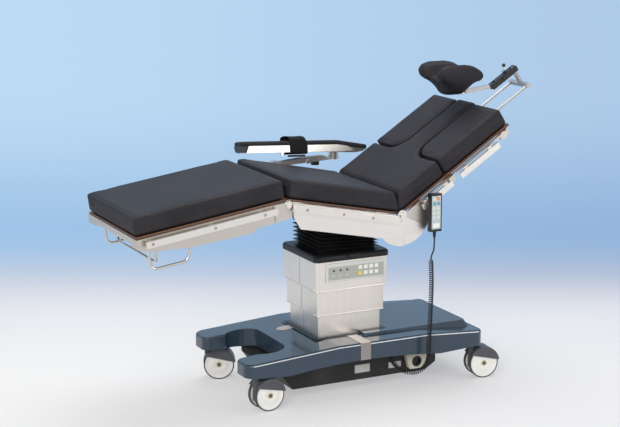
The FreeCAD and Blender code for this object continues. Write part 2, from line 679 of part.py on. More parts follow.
def bellows(low_z, high_z, low_slope, high_slope, pleats):
    """Square pleated bellows between two planes, each sloping down to the head end."""
    solids = []
    for skin in (0.0, BELLOWS_SKIN):
        rings = []
        for step in range(2 * pleats + 1):
            share = step / (2 * pleats)
            fold = BELLOWS_PLEAT if step % 2 else 0.0
            half_x = BELLOWS_HALF_X - fold - skin
            half_y = BELLOWS_HALF_Y - fold - skin
            cut = 14.0
            slope = low_slope + (high_slope - low_slope) * share
            middle = low_z + (high_z - low_z) * share
            corners = [(half_x, half_y - cut), (half_x - cut, half_y), (cut - half_x, half_y),
                       (-half_x, half_y - cut), (-half_x, cut - half_y), (cut - half_x, -half_y),
                       (half_x - cut, -half_y), (half_x, cut - half_y)]
            spots = [V(x, y, middle - x * slope) for x, y in corners]
            rings.append(Part.makePolygon(spots + spots[:1]))
        solids.append(Part.makeLoft(rings, True, True))
    return solids[0].cut(solids[1])


def tilt_cradle():
    """Cross block: a cross pin in the column's posts and a long pin that carries the seat."""
    half = CRADLE_HALF
    block = box((-half, half), (-POST_Y[0] + 1, POST_Y[0] - 1), (-half + 6, half - 6))
    block = rounded(block, 8, V(0, 1, 0))
    cross = rod((0, -POST_Y[1] - 5, 0), (0, POST_Y[1] + 5, 0), TREND_PIN_R)
    long_pin = rod((-HANGER_U[1] - 8, 0, 0), (HANGER_U[1] + 8, 0, 0), TILT_PIN_R)
    collars = [rod((side * half, 0, 0), (side * (HANGER_U[0] - 0.4), 0, 0), TILT_PIN_R + 6)
               for side in (-1, 1)]
    return put(join([block, cross, long_pin] + collars), CENTRE)


def hinge_cut(w):
    """How far from the back's hinge line a raised back needs the cushions to end."""
    return (w + BACK_PIVOT_DEPTH) * math.tan(math.radians(CUSHION_WEDGE))


def cushion(points):
    """A plain block for a cushion, from the outline of its side."""
    return slab("XZ", points, -TOP_HALF_WIDTH, TOP_HALF_WIDTH)


def seat_cushion():
    """Seat cushion, square at the leg end and slanted at the back's hinge."""
    end = SEAT_LENGTH - CUSHION_GAP
    return put(cushion([(CUSHION_GAP, 0), (end - hinge_cut(0), 0),
                        (end - hinge_cut(CUSHION_T), CUSHION_T), (CUSHION_GAP, CUSHION_T)]), SEAT)


def leg_cushion():
    """Plain rectangular leg cushion."""
    x = (-LEG_LENGTH, -CUSHION_GAP)
    return put(cushion([(x[0], 0), (x[1], 0), (x[1], CUSHION_T), (x[0], CUSHION_T)]), LEG)


def board(span, seats):
    """A section's board, with cross pads under it where the frame's bars are lower."""
    y = TOP_HALF_WIDTH - BOARD_INSET
    pieces = [box(span, (-y, y), (-BOARD_T, 0))]
    pieces += [box((u, u + 36), (-200, 200), (-BOARD_T - drop, -BOARD_T)) for u, drop in seats]
    return join(pieces)


def screw_heads(spots, y, radius=SCREW_R):
    """Flush screw heads' domes on a rail's outer face."""
    return [rod((u, y, w), (u, y - 1.2, w), radius) for u, w in spots]


def rail(span, screws):
    """One side rail on its spacers, with a screw through each; near side, then far."""
    bar = box(span, (-RAIL_Y - RAIL_T, -RAIL_Y), (RAIL_W - RAIL_H / 2, RAIL_W + RAIL_H / 2))
    bar = rounded(bar, 2, V(0, 1, 0))
    near = join([bar] + screw_heads([(u, RAIL_W) for u in screws], -RAIL_Y - RAIL_T))
    return [near, mirror(near)]


def spacers(screws, inner_y):
    """Round spacers between a section's side and its rail."""
    near = [rod((u, -inner_y, RAIL_W), (u, -RAIL_Y, RAIL_W), SPACER_R) for u in screws]
    return near + [mirror(s) for s in near]


def seat_frame():
    """Side plates with hinge eyes, cross bars, bellows ring and the two hangers."""
    u_end = SEAT_LENGTH
    depth = -SIDE_PLATE_DEPTH
    pivot_leg = -LEG_PIVOT_DEPTH
    pivot_back = -BACK_PIVOT_DEPTH
    profile = [(-6, -BOARD_T - 1), (-16, pivot_leg), (-10, depth + 21), (48, depth),
               (u_end - 40, depth), (u_end - 14, depth + 30), (u_end - 14, -BOARD_T - 1)]
    y = SIDE_PLATE_Y
    plate = slab("XZ", profile, -y[1], -y[0])
    eye_leg = rod((0, -y[1], pivot_leg), (0, -y[0], pivot_leg), 16)
    eye_back = rod((u_end, -y[1], pivot_back), (u_end, -y[0], pivot_back), 14)
    web = box((u_end - 30, u_end), (-y[1], -y[0]), (pivot_back - 13, -BOARD_T - 1))
    pin_leg = rod((0, -LEG_ARM_Y[1] - 5, pivot_leg), (0, -y[0], pivot_leg), 9)
    pin_back = rod((u_end, -SEAT_COVER_Y[1] - 1, pivot_back), (u_end, -y[0], pivot_back), BACK_PIN_R)
    head_back = rod((u_end, -SEAT_COVER_Y[1] - 4, pivot_back), (u_end, -SEAT_COVER_Y[1] - 0.5, pivot_back), 11)
    head_leg = rod((0, -LEG_ARM_Y[1] - 5, pivot_leg), (0, -LEG_ARM_Y[1] - 0.5, pivot_leg), 13)
    side = join([plate, eye_leg, eye_back, web, pin_leg, pin_back, head_back, head_leg])
    inner = (-y[0], y[0])
    bars = [box((40, 80), inner, CROSS_W)]
    centre = CENTRE_IN_SEAT
    hangers = []
    for side_sign in (-1, 1):
        u = sorted((centre.x + side_sign * HANGER_U[0], centre.x + side_sign * HANGER_U[1]))
        bars.append(box((u[0] - 14, u[1] + 14), inner, CROSS_W))
        hang = box(u, (-HANGER_HALF_WIDTH, HANGER_HALF_WIDTH), (centre.z, CROSS_W[0] + 1))
        eye = Part.makeCylinder(24, u[1] - u[0], V(u[0], 0, centre.z), V(1, 0, 0))
        taper = slab("YZ", [(-24, centre.z), (24, centre.z), (HANGER_HALF_WIDTH, CROSS_W[0] + 1),
                            (-HANGER_HALF_WIDTH, CROSS_W[0] + 1)], u[0], u[1])
        hangers += [hang.common(taper), eye]
    rails_y = 150.0
    for side_sign in (-1, 1):
        y_bar = sorted((side_sign * rails_y, side_sign * (rails_y + 30)))
        bars.append(box((60, centre.x + HANGER_U[1] + 14), y_bar, CROSS_W))
    ring = box((centre.x - BELLOWS_HALF_X - 6, centre.x + BELLOWS_HALF_X + 6),
               (-BELLOWS_HALF_Y - 6, BELLOWS_HALF_Y + 6), (CROSS_W[0] - 3, CROSS_W[0]))
    ring = ring.cut(box((centre.x - BELLOWS_HALF_X + 24, centre.x + BELLOWS_HALF_X - 24),
                        (-BELLOWS_HALF_Y + 24, BELLOWS_HALF_Y - 24), (-200, 0)))
    ledges = [box((20, 60), (-y[0], -y[0] + 30), (CROSS_W[1], -BOARD_T)),
              box((u_end - 110, u_end - 60), (-y[0], -y[0] + 30), (CROSS_W[1], -BOARD_T))]
    ledges += [box((44, 76), (-60, 60), (CROSS_W[1], -BOARD_T)),
               box((centre.x + 60, centre.x + 92), (-60, 60), (CROSS_W[1], -BOARD_T))]
    ledges.append(box((u_end - 112, u_end - 58), (-y[0], -y[0] + 30), CROSS_W))
    near = [side] + ledges
    far = [mirror(piece) for piece in near]
    welded = join(near + far + bars + hangers + [ring])
    bore = Part.makeCylinder(TILT_PIN_R + RUNNING_GAP, 300, V(centre.x - 150, 0, centre.z), V(1, 0, 0))
    return put(welded.cut(bore), SEAT)


def seat_covers():
    """Folded side covers with a bottom flange, and the fixed plates of the hinge fans."""
    y = SEAT_COVER_Y
    depth = -SEAT_COVER_DEPTH
    end = SEAT_LENGTH - 16
    side = [(14, -11), (22, -44), (30, -67), (67, depth), (end - 34, depth), (end - 3, -46), (end, -11)]
    sheet = slab("XZ", side, -y[1], -y[0])
    flange = box((76, 422), (-y[1], -SIDE_PLATE_Y[0] + 22), (depth, depth + 2))
    pivot = V(SEAT_LENGTH, 0, -BACK_PIVOT_DEPTH)
    fixed = sector(pivot, FAN_R, -119 - 4, -74.3, FAN_FIXED_Y, 26)
    stays = [rod((u, -SEAT_COVER_Y[0], -66), (u, -SIDE_PLATE_Y[1], -66), 6) for u in (90, 250, 400)]
    stay = rod((SEAT_LENGTH - 50, -SEAT_COVER_Y[0], -50), (SEAT_LENGTH - 50, -FAN_FIXED_Y[0], -50), 6)
    near = [join([sheet, flange] + stays), join([fixed, stay])]
    far = [mirror(piece) for piece in near]
    return put(group(near + far + spacers(SEAT_SCREWS_U, SEAT_COVER_Y[1])), SEAT)


def sector(pivot, radius, low, high, y, inner):
    """A flat sector of a hinge fan on the near side, from an inner radius outwards."""
    def spot(r, angle):
        turn = math.radians(angle)
        return (pivot.x + r * math.cos(turn), pivot.z + r * math.sin(turn))
    middle = (low + high) / 2
    points = [spot(inner, low), spot(radius, low), spot(radius, middle) + spot(radius, high),
              spot(inner, high), spot(inner, middle) + spot(inner, low)]
    return slab("XZ", points[:-1], -y[1], -y[0]).cut(
        Part.makeCylinder(inner, 400, V(pivot.x, -350, pivot.z), V(0, 1, 0)))


def hinge_fan():
    """Middle sectors of the hinge fans, which follow the back at half its speed."""
    pivot = V(0, 0, 0)
    plate = sector(pivot, FAN_R - 3, -96, -26, FAN_Y, 12)
    hub = rod((0, -FAN_Y[1], 0), (0, -FAN_Y[0], 0), 20)
    blade = join([plate, hub]).cut(Part.makeCylinder(BACK_PIN_R + RUNNING_GAP, 400, V(0, -350, 0), V(0, 1, 0)))
    place = frame(BACK_HINGE.Base.x, BACK_HINGE.Base.z, 0)
    return put(group([blade, mirror(blade)]), place)


def leg_frame():
    """Folded frame of the leg section with its hinge arms, end bar and corner blocks."""
    y = LEG_ARM_Y
    depth = -LEG_PIVOT_DEPTH
    arm = slab("XZ", [(-62, -BOARD_T - 1), (-62, -74), (-6, -74), (12, -58), (18, depth),
                      (8, -BOARD_T + 5), (-4, -BOARD_T - 1)], -y[1], -y[0])
    arm = arm.cut(Part.makeCylinder(9 + RUNNING_GAP, 400, V(0, -350, depth), V(0, 1, 0)))
    length = LEG_LENGTH
    low = [(-40, -BOARD_T - 1), (-40, -78), (-140, -79), (-160, -94), (-413, -85), (-584, -61),
           (-length, -44), (-length, -BOARD_T - 1)]
    outer_y = LEG_ARM_Y[0] - 0.0
    sheet = slab("XZ", low, -outer_y, -outer_y + LEG_SHEET_T)
    fold_z = (-LEG_SHEET_T - BOARD_T, -BOARD_T)
    top_fold = box((-length, -40), (-outer_y, -outer_y + 40), (fold_z[0], fold_z[1]))
    lower = slab("XZ", [(-160, -94), (-413, -85), (-584, -61), (-584, -58), (-413, -82), (-160, -91)],
                 -outer_y, -outer_y + 22)
    corner = box((-length, -length + 62), (-outer_y, -outer_y + 70), (-46, -BOARD_T))
    side = join([arm, sheet, top_fold, lower, corner])
    end = box((-length, -length + LEG_SHEET_T), (-outer_y, outer_y), (-34, -BOARD_T))
    cross = [box((-length + 64, -length + 104), (-outer_y, outer_y), (-34, -14)),
             box((-300, -260), (-outer_y, outer_y), (-34, -14)),
             box((-100, -62), (-outer_y, outer_y), (-34, -14))]
    return put(join([side, mirror(side), end] + cross), LEG)


def leg_handles():
    """Bent rod handles: one under each side and one across the foot end."""
    top = -LEG_SHEET_T - BOARD_T - 0.0
    side = bent_rod([(-571, -HANDLE_Y, -46), (-571, -HANDLE_Y, -HANDLE_DEPTH),
                     (-426, -HANDLE_Y, -HANDLE_DEPTH), (-371, -HANDLE_Y, top - 2.6)],
                    HANDLE_R, (HANDLE_BEND, HANDLE_BEND))
    across = bent_rod([(-535, -CROSS_HANDLE_Y, -34), (-535, -CROSS_HANDLE_Y, -HANDLE_DEPTH + 13),
                       (-535, CROSS_HANDLE_Y, -HANDLE_DEPTH + 13), (-535, CROSS_HANDLE_Y, -34)],
                      HANDLE_R, (HANDLE_BEND, HANDLE_BEND))
    return put(group([side, mirror(side), across]), LEG)


def back_frame():
    """Side members with their cranks, cross bars, the middle joint blocks and rod sockets."""
    pivot = V(0, 0, -BACK_PIVOT_DEPTH)
    y = BACK_CRANK_Y
    crank = sector(pivot, FAN_R - 1, -62, -4, y, 12)
    hub = rod((0, -y[1], pivot.z), (0, -y[0], pivot.z), 20)
    member_y = (SIDE_PLATE_Y[0], BACK_CRANK_Y[1])
    member = box((34, BACK_LENGTH - 30), (-member_y[1], -member_y[0]), (-16, -BOARD_T - 1))
    neck = box((0, 60), (-y[1], -y[0]), (-18, -BOARD_T - 1))
    crank = join([crank, hub, neck]).cut(
        Part.makeCylinder(BACK_PIN_R + RUNNING_GAP, 400, V(0, -350, pivot.z), V(0, 1, 0)))
    block = box((BACK_SPLIT_U - 6, BACK_SPLIT_U + 22), (-RAIL_Y + 4, -member_y[0]), (-32, -BOARD_T - 1))
    spot = BACK_LENGTH - 52
    lug = rod((spot, -member_y[1], -20), (spot, 2 - TOP_HALF_WIDTH, -20), 16)
    stub = box((spot - 14, spot + 14), (-member_y[0], 25 - TOP_HALF_WIDTH), (-36, -BOARD_T - 1))
    side = join([crank, member, block, lug, stub])
    cross_y = (-member_y[0], member_y[0])
    cross = [box((60, 100), cross_y, (-32, -BOARD_T - 1)),
             box((BACK_SPLIT_U - 22, BACK_SPLIT_U + 22), cross_y, (-32, -BOARD_T - 1)),
             box((BACK_LENGTH - 60, BACK_LENGTH - 20), cross_y, (-32, -BOARD_T - 1))]
    sockets = []
    for rod_y in (-ROD_Y, ROD_Y):
        spot_y = (rod_y - 11, rod_y + 11)
        sockets.append(box((BACK_LENGTH - ROD_INSIDE, BACK_LENGTH), spot_y, (ROD_W - 11, -BOARD_T - 1)))
    welded = join([side, mirror(side)] + cross + sockets)
    for rod_y in (-ROD_Y, ROD_Y):
        start = V(BACK_LENGTH - ROD_INSIDE - 1, rod_y, ROD_W)
        welded = welded.cut(Part.makeCylinder(ROD_R + RUNNING_GAP, ROD_INSIDE + 2, start, V(1, 0, 0)))
    return put(welded, BACK)


def back_cushion():
    """Lower back cushion with the tongue that runs up between the shoulder cushions."""
    low = CUSHION_GAP + hinge_cut(0)
    high = CUSHION_GAP + hinge_cut(CUSHION_T)
    block = cushion([(low, 0), (BACK_LENGTH, 0), (BACK_LENGTH, CUSHION_T), (high, CUSHION_T)])
    keep = shoulder_plan(SHOULDER_R, 0.0)
    for piece in (keep, mirror(keep)):
        block = block.cut(piece)
    return put(block, BACK)


def shoulder_plan(radius, inset):
    """The space of one shoulder cushion with a rounded inner corner, on the near side."""
    u = (BACK_SPLIT_U + inset, BACK_LENGTH - inset + 0.001)
    space = box(u, (-TOP_HALF_WIDTH - 1 + inset, -TONGUE_HALF_WIDTH - inset), (-1, CUSHION_T + 1))
    corner = [e for e in space.Edges if e.BoundBox.ZLength > CUSHION_T and e.BoundBox.XMin < u[0] + 1e-6
              and e.BoundBox.YMin > -TOP_HALF_WIDTH / 2]
    return space.makeFillet(radius, corner)


def shoulder_cushion():
    """Removable shoulder cushion on the near side."""
    block = slab("XZ", [(0, 0), (BACK_LENGTH, 0), (BACK_LENGTH, CUSHION_T), (0, CUSHION_T)],
                 -TOP_HALF_WIDTH, 0)
    return block.common(shoulder_plan(SHOULDER_R, 1.0))


def back_board():
    """Lower and upper boards, which meet at the middle joint."""
    y = (BOARD_INSET - TOP_HALF_WIDTH, TOP_HALF_WIDTH - BOARD_INSET)
    z = (-BOARD_T, 0)
    lower = box((BOARD_HINGE_GAP, BACK_SPLIT_U), y, z)
    upper = box((BACK_SPLIT_U + 2, BACK_LENGTH - 4), y, z)
    pads = [box((u, u + 40), (-200, 200), (-BOARD_T - 1, -BOARD_T)) for u in (60, BACK_LENGTH - 60)]
    pads.append(box((BACK_SPLIT_U - 22, BACK_SPLIT_U - 2), (-200, 200), (-BOARD_T - 1, -BOARD_T)))
    pads.append(box((BACK_SPLIT_U + 4, BACK_SPLIT_U + 22), (-200, 200), (-BOARD_T - 1, -BOARD_T)))
    lower = join([lower, pads[0], pads[2]])
    upper = join([upper, pads[1], pads[3]])
    return put(group([lower, upper]), BACK)


def section_rail(span, screws, inner_y, place):
    """A section's two rails with the spacers that stand them off its sides."""
    return put(group(rail(span, screws) + (spacers(screws, inner_y) if inner_y else [])), place)


def back_rails():
    """Lower and upper rails on both sides of the back."""
    lower = rail(BACK_RAIL_LOWER_U, (110, 220))
    upper = rail(BACK_RAIL_UPPER_U, (330, 460))
    feet = back_standoffs((110, 220, 330, 460))
    return put(group(lower + upper + feet), BACK)


def back_standoffs(screws):
    """Blocks that drop from the side member and reach out to the rail."""
    near = []
    for u in screws:
        near.append(box((u - 9, u + 9), (-RAIL_Y, -BACK_CRANK_Y[1]), (RAIL_W - 8, -BOARD_T - 2)))
    return near + [mirror(piece) for piece in near]


def head_rods():
    """Headrest fork: two rods in the back's sockets, a cross bar and an upright post."""
    start = BACK_LENGTH - ROD_INSIDE + 20
    rods = [rod((start, y, ROD_W), (ROD_END_U, y, ROD_W), ROD_R) for y in (-ROD_Y, ROD_Y)]
    bar = box((ROD_END_U - 12, ROD_END_U + 10), (-ROD_Y - 9, ROD_Y + 9), (ROD_W - 8, ROD_W + 8))
    bar = rounded(bar, 5, V(0, 1, 0))
    spot = ROD_END_U + 5
    post = rod((spot, 0, ROD_W), (spot, 0, LINK_HEIGHT - 22), POST_R + 3)
    neck = box((spot - 9, spot + 9), (-5, 5), (LINK_HEIGHT - 28, LINK_HEIGHT))
    eye = rod((spot, -5, LINK_HEIGHT), (spot, 5, LINK_HEIGHT), 12)
    fork = join(rods + [bar, post, neck, eye])
    fork = fork.cut(Part.makeCylinder(5 + RUNNING_GAP, 60, V(ROD_END_U + 5, -30, LINK_HEIGHT), V(0, 1, 0)))
    return put(fork, BACK)


def head_link_upper():
    """Black clamp link, forked over the post's eye and over the lower link, with the lever's ears."""
    length = LINK_UPPER_L
    body = box((-14, length + 12), (-13, 13), (-13, 13))
    body = rounded(body, 6, V(0, 1, 0))
    for u in (0, length):
        body = body.cut(box((u - 17, u + 17), (-5.4, 5.4), (-20, 20)))
    pins = [rod((u, -14, 0), (u, 14, 0), 5) for u in (0, length)]
    bolt = rod((length * 0.55, -16, -2), (length * 0.55, -13, -2), 7)
    ears = [box((LEVER_U - 5, LEVER_U + 5), sorted((side * 4, side * 8)), (-LEVER_H - 4, -11))
            for side in (-1, 1)]
    ear_pin = rod((LEVER_U, -9, -LEVER_H), (LEVER_U, 9, -LEVER_H), 2.5)
    return put(join([body, bolt, ear_pin] + ears + pins), LINK_TOP)


def head_link_lower():
    """Bright double link from the clamp to the pad."""
    length = LINK_LOWER_L
    tongue = box((-2, length), (-5, 5), (-7, 7))
    eye = rod((0, -5, 0), (0, 5, 0), 11)
    plates = [box((26, length + 2), (-9, -5), (-8, 8)), box((26, length + 2), (5, 9), (-8, 8))]
    far_eye = rod((length, -9, 0), (length, 9, 0), 9)
    link = join([tongue, eye, far_eye] + plates)
    link = link.cut(Part.makeCylinder(5 + RUNNING_GAP, 60, V(0, -30, 0), V(0, 1, 0)))
    link = link.cut(box((length - 12, length + 12), (-5.4, 5.4), (-20, 20)))
    pin = rod((length, -10, 0), (length, 10, 0), 4)
    return put(join([link, pin]), LINK_KNEE)


def head_lever():
    """Release lever between the clamp link's ears, with its ball knob."""
    foot = rod((LEVER_U, -3.6, -LEVER_H), (LEVER_U, 3.6, -LEVER_H), 5)
    tip = (LEVER_U - LEVER_L * 0.45, 0, -LEVER_H - LEVER_L * 0.9)
    stem = rod((LEVER_U, 0, -LEVER_H), tip, 3)
    ball = Part.makeSphere(LEVER_BALL_R, V(*tip))
    lever = join([stem, foot, ball])
    return put(lever.cut(rod((LEVER_U, -9, -LEVER_H), (LEVER_U, 9, -LEVER_H), 2.5 + RUNNING_GAP)), LINK_TOP)


def head_pad():
    """Winged head pad, with the lug that pivots on the lower link."""
    half = [(34, 3), (58, 24), (88, 56), (104, 82), (101, 108), (84, 126), (64, 116), (34, 70)]
    points = [(0, 0)] + half + [(0, 54)] + [(-y, z) for y, z in reversed(half)]
    wing = slab("YZ", points, -PAD_HALF_X, PAD_HALF_X)
    head = [(0.40, 0), (0.56, 30), (0.70, 50), (1.0, 60), (1.03, 74), (0.90, 96), (0.56, 116), (0.10, 127)]
    foot = [(-0.60, 127), (-0.92, 114), (-1.03, 92), (-0.97, 68), (-0.64, 48), (-0.48, 28), (-0.40, 0)]
    ring = [(PAD_HALF_X * u, z) for u, z in head + foot]
    wing = wing.common(slab("XZ", ring, -200, 200))
    wing.translate(V(PAD_X_FROM_LINK, 0, -PAD_BASE_Z))
    eye = rod((0, -5, 0), (0, 5, 0), 8)
    arm = box((-26, 0), (-5, 5), (-8, 5))
    plate = box((PAD_X_FROM_LINK - 24, -16), (-30, 30), (-PAD_BASE_Z - 4, -PAD_BASE_Z))
    carrier = join([eye, arm, plate]).cut(wing)
    carrier = carrier.cut(Part.makeCylinder(4 + RUNNING_GAP, 60, V(0, -30, 0), V(0, 1, 0)))
    return put(group([wing, carrier]), PAD)


def arm_clamp():
    """The clamp on the seat's rail; its jaws lie along the rail and its socket is upright."""
    gap = SLIDE_GAP
    half = RAIL_H / 2 + gap
    jaws = box((-22, 22), (RAIL_Y - 5.2, RAIL_Y + RAIL_T + 14), (-half - 12, half + 12))
    jaws = jaws.cut(box((-30, 30), (RAIL_Y - gap, RAIL_Y + RAIL_T + 1.6), (-half, half)))
    jaws = jaws.cut(box((-30, 30), (RAIL_Y - 10, RAIL_Y), (-half + 4, half - 4)))
    jaws = put(jaws, SEAT.multiply(frame(ARM_CLAMP_U, RAIL_W, 0)))
    y = ARM_POST_Y
    arm = box((-16, 16), (RAIL_Y + RAIL_T + 10, y), (-22, 22))
    socket = rod((0, y, -30), (0, y, 42), 17)
    upright = put(join([arm, socket]), ARM_CLAMP)
    body = join([jaws, upright])
    base = ARM_CLAMP.Base
    start = V(base.x, y, base.z - 20)
    return body.cut(Part.makeCylinder(ARM_POST_R + RUNNING_GAP, 70, start, V(0, 0, 1)))


def arm_support():
    """Post in the clamp's socket and the curved arm from it to the board's swivel."""
    base = ARM_CLAMP.Base
    run = V(ARM_JOINT_X - base.x, ARM_JOINT_Y - ARM_POST_Y, 0)
    low, high = ARM_BEAM_Z
    top = high + 9
    length = run.Length
    side = [(-20, low + 2), (length + 20, low), (length + 20, high), (length - 44, high),
            (length - 60, top), (length * 0.45, top + 2, 30, top - 2), (-20, top - 2)]
    beam = slab("XZ", side, -ARM_BEAM_HALF, ARM_BEAM_HALF)
    end = Part.makeCylinder(24, high - low, V(length, 0, low))
    plug = box((length * 0.5, length * 0.5 + 16), (-ARM_BEAM_HALF - 4, -ARM_BEAM_HALF), (low - 3, low + 13))
    turn = FreeCAD.Rotation(V(1, 0, 0), run)
    place = FreeCAD.Placement(V(base.x, ARM_POST_Y, 0), turn)
    arm = put(join([beam, end, plug]), place)
    post = rod((base.x, ARM_POST_Y, base.z - 18), (base.x, ARM_POST_Y, low + 4), ARM_POST_R)
    collar = rod((base.x, ARM_POST_Y, low - 6), (base.x, ARM_POST_Y, top + 2), 19)
    stud = rod((ARM_KNOB_X, ARM_KNOB_Y, low - 11), (ARM_KNOB_X, ARM_KNOB_Y, low + 2), 5)
    arm = join([arm, post, collar, stud])
    bore = rod((ARM_JOINT_X, ARM_JOINT_Y, low + 4), (ARM_JOINT_X, ARM_JOINT_Y, high + 30),
               ARM_JOINT_PIN_R + RUNNING_GAP)
    return arm.cut(bore)


def arm_frame():
    """Board frame: two side rails, a pan, a black end cap, the tail housing and the swivel hub."""
    half = ARM_BOARD_HALF_WIDTH
    low = -ARM_RAIL_H
    start = 21 - ARM_PAD_L
    fall = ARM_TAIL_DROP / (ARM_TAIL_L + 10)
    near = slab("XZ", [(start + 11, 0), (-10, 0), (40, -50 * fall), (70, low), (start, low)],
                -half, ARM_RAIL_T - half)
    pan = box((start + 11, -10), (-half + ARM_RAIL_T, half - ARM_RAIL_T), (-4, 0))
    cross = [box((u, u + 24), (-half + ARM_RAIL_T, half - ARM_RAIL_T), (low + 6, 0))
             for u in (start + 30, -180, -34)]
    end = ARM_TAIL_L - 12
    tail = slab("XZ", [(-30, 0), (-10, 0), (end, -(end + 10) * fall), (end, -(end + 10) * fall - 7),
                       (90, low - 6), (-30, low - 2)], -26, 26)
    stop = rod((-265, -36, low), (-265, -36, low - 14), 9)
    lug = box((-275, -255), (-half + 4, -30), (low, low + 8))
    cap = slab("XZ", [(-ARM_PAD_L + 4, 0), (start + 10, 0), (start - 1, low + 1), (-ARM_PAD_L + 10, low + 5)],
               -half, half)
    frame_solid = put(join([near, mirror(near), pan, tail, stop, lug] + cross), ARM_BOARD)
    hub = rod((ARM_JOINT_X, ARM_JOINT_Y, ARM_BEAM_Z[1] + 0.4), (ARM_JOINT_X, ARM_JOINT_Y, 930), 22)
    hub = hub.common(put(box((-60, 60), (-60, 60), (-90, -9)), ARM_BOARD))
    pin = rod((ARM_JOINT_X, ARM_JOINT_Y, ARM_BEAM_Z[0] + 4.4), (ARM_JOINT_X, ARM_JOINT_Y, 870),
              ARM_JOINT_PIN_R)
    return group([join([frame_solid, hub, pin]), put(cap, ARM_BOARD)])


def arm_pad():
    """Long arm pad, whose head end tapers and bends down."""
    half = ARM_BOARD_HALF_WIDTH
    drop = ARM_TAIL_DROP
    tall = ARM_PAD_T
    side = slab("XZ", [(-ARM_PAD_L, 0), (-10, 0), (ARM_TAIL_L, -drop), (ARM_TAIL_L, tall - drop),
                       (-10, tall), (-ARM_PAD_L, tall)], -half, half)
    plan = slab("XY", [(-ARM_PAD_L, -half), (-5, -half), (ARM_TAIL_L, -ARM_TAIL_HALF),
                       (ARM_TAIL_L, ARM_TAIL_HALF), (-5, half), (-ARM_PAD_L, half)], -60, 60)
    plan = rounded(plan, 24, V(0, 0, 1))
    return put(side.common(plan), ARM_BOARD)


def arm_strap():
    """Strap looped round the board, standing up in an arch over the pad."""
    half = ARM_BOARD_HALF_WIDTH
    low = -ARM_RAIL_H
    rings = []
    for grow in (STRAP_T, 0.0):
        out = half + 0.6 + grow
        floor = low - 9 - grow
        top = ARM_PAD_T + STRAP_RISE + grow
        ring = [(-out, floor + 6), (-out, ARM_PAD_T + 1), (-half * 0.6, top - 4, 0, top),
                (half * 0.6, top - 4, out, ARM_PAD_T + 1), (out, floor + 6), (out - 6, floor),
                (6 - out, floor)]
        rings.append(slab("YZ", ring, STRAP_L[0] - 1 + (grow > 0), STRAP_L[1] + 1 - (grow > 0)))
    buckle = box((STRAP_L[0] + 6, STRAP_L[1] - 6), (-half + 8, -half + 40), (low - 21, low - 9 - STRAP_T))
    return put(group([rings[0].cut(rings[1]), buckle]), ARM_BOARD)


def arm_knob():
    """Clamping knob on its stud under the support beam."""
    top = ARM_BEAM_Z[0] - 0.4
    spot = (ARM_KNOB_X, ARM_KNOB_Y)
    knob = rod(spot + (top - 15,), spot + (top,), ARM_KNOB_R)
    for turn in range(6):
        angle = math.radians(60 * turn)
        notch = (spot[0] + (ARM_KNOB_R + 3) * math.cos(angle), spot[1] + (ARM_KNOB_R + 3) * math.sin(angle))
        knob = knob.cut(rod(notch + (top - 20,), notch + (top + 5,), 6))
    return knob.cut(rod(spot + (top - 11.5,), spot + (top + 5,), 5 + RUNNING_GAP))


def handset():
    """Handset with its hook over the back's rail, membrane, keys and cord relief."""
    half = HANDSET_W / 2
    y = (HANDSET_Y - HANDSET_T, HANDSET_Y)
    high = 9.0
    low = high - HANDSET_H
    body = rounded(box((-half, half), y, (low, high)), 7, V(0, 1, 0))
    front = [e for e in body.Edges if abs(e.BoundBox.YMin - y[0]) < 1e-6 and e.BoundBox.YLength < 1e-6]
    body = body.makeFillet(3, front)
    relief = Part.makeCone(8, 5, 27.5, V(0, sum(y) / 2, low + 0.5), V(0, 0, -1))
    hook = rod((0, y[1] - 4, 0), (0, -RAIL_Y + 4, 0), HOOK_R)
    leg = box((-6, 6), (-RAIL_Y + 1, -RAIL_Y + 4), (-20, HOOK_R))
    body = join([body, relief, hook, leg])
    skin = rounded(box((-half + 5, half - 5), (y[0] - 0.8, y[0]), (low + 10, high - 8)), 3, V(0, 1, 0))
    keys = []
    for row in range(4):
        for column in (-1, 1):
            z = high - 34 - row * 19
            x = sorted((column * 2.5, column * 15.5))
            keys.append(box(x, (y[0] - 1.8, y[0] - 0.8), (z, z + 13)))
    return put(group([body, skin] + keys), HOOK)


def cord(points, radius):
    """A plain round cord along its route, with its bends' radii printed."""
    bends = cord_bends(points)
    print("cord radius", radius, "bend radii", [round(b) for b in bends])
    return bent_rod(points, radius, bends)


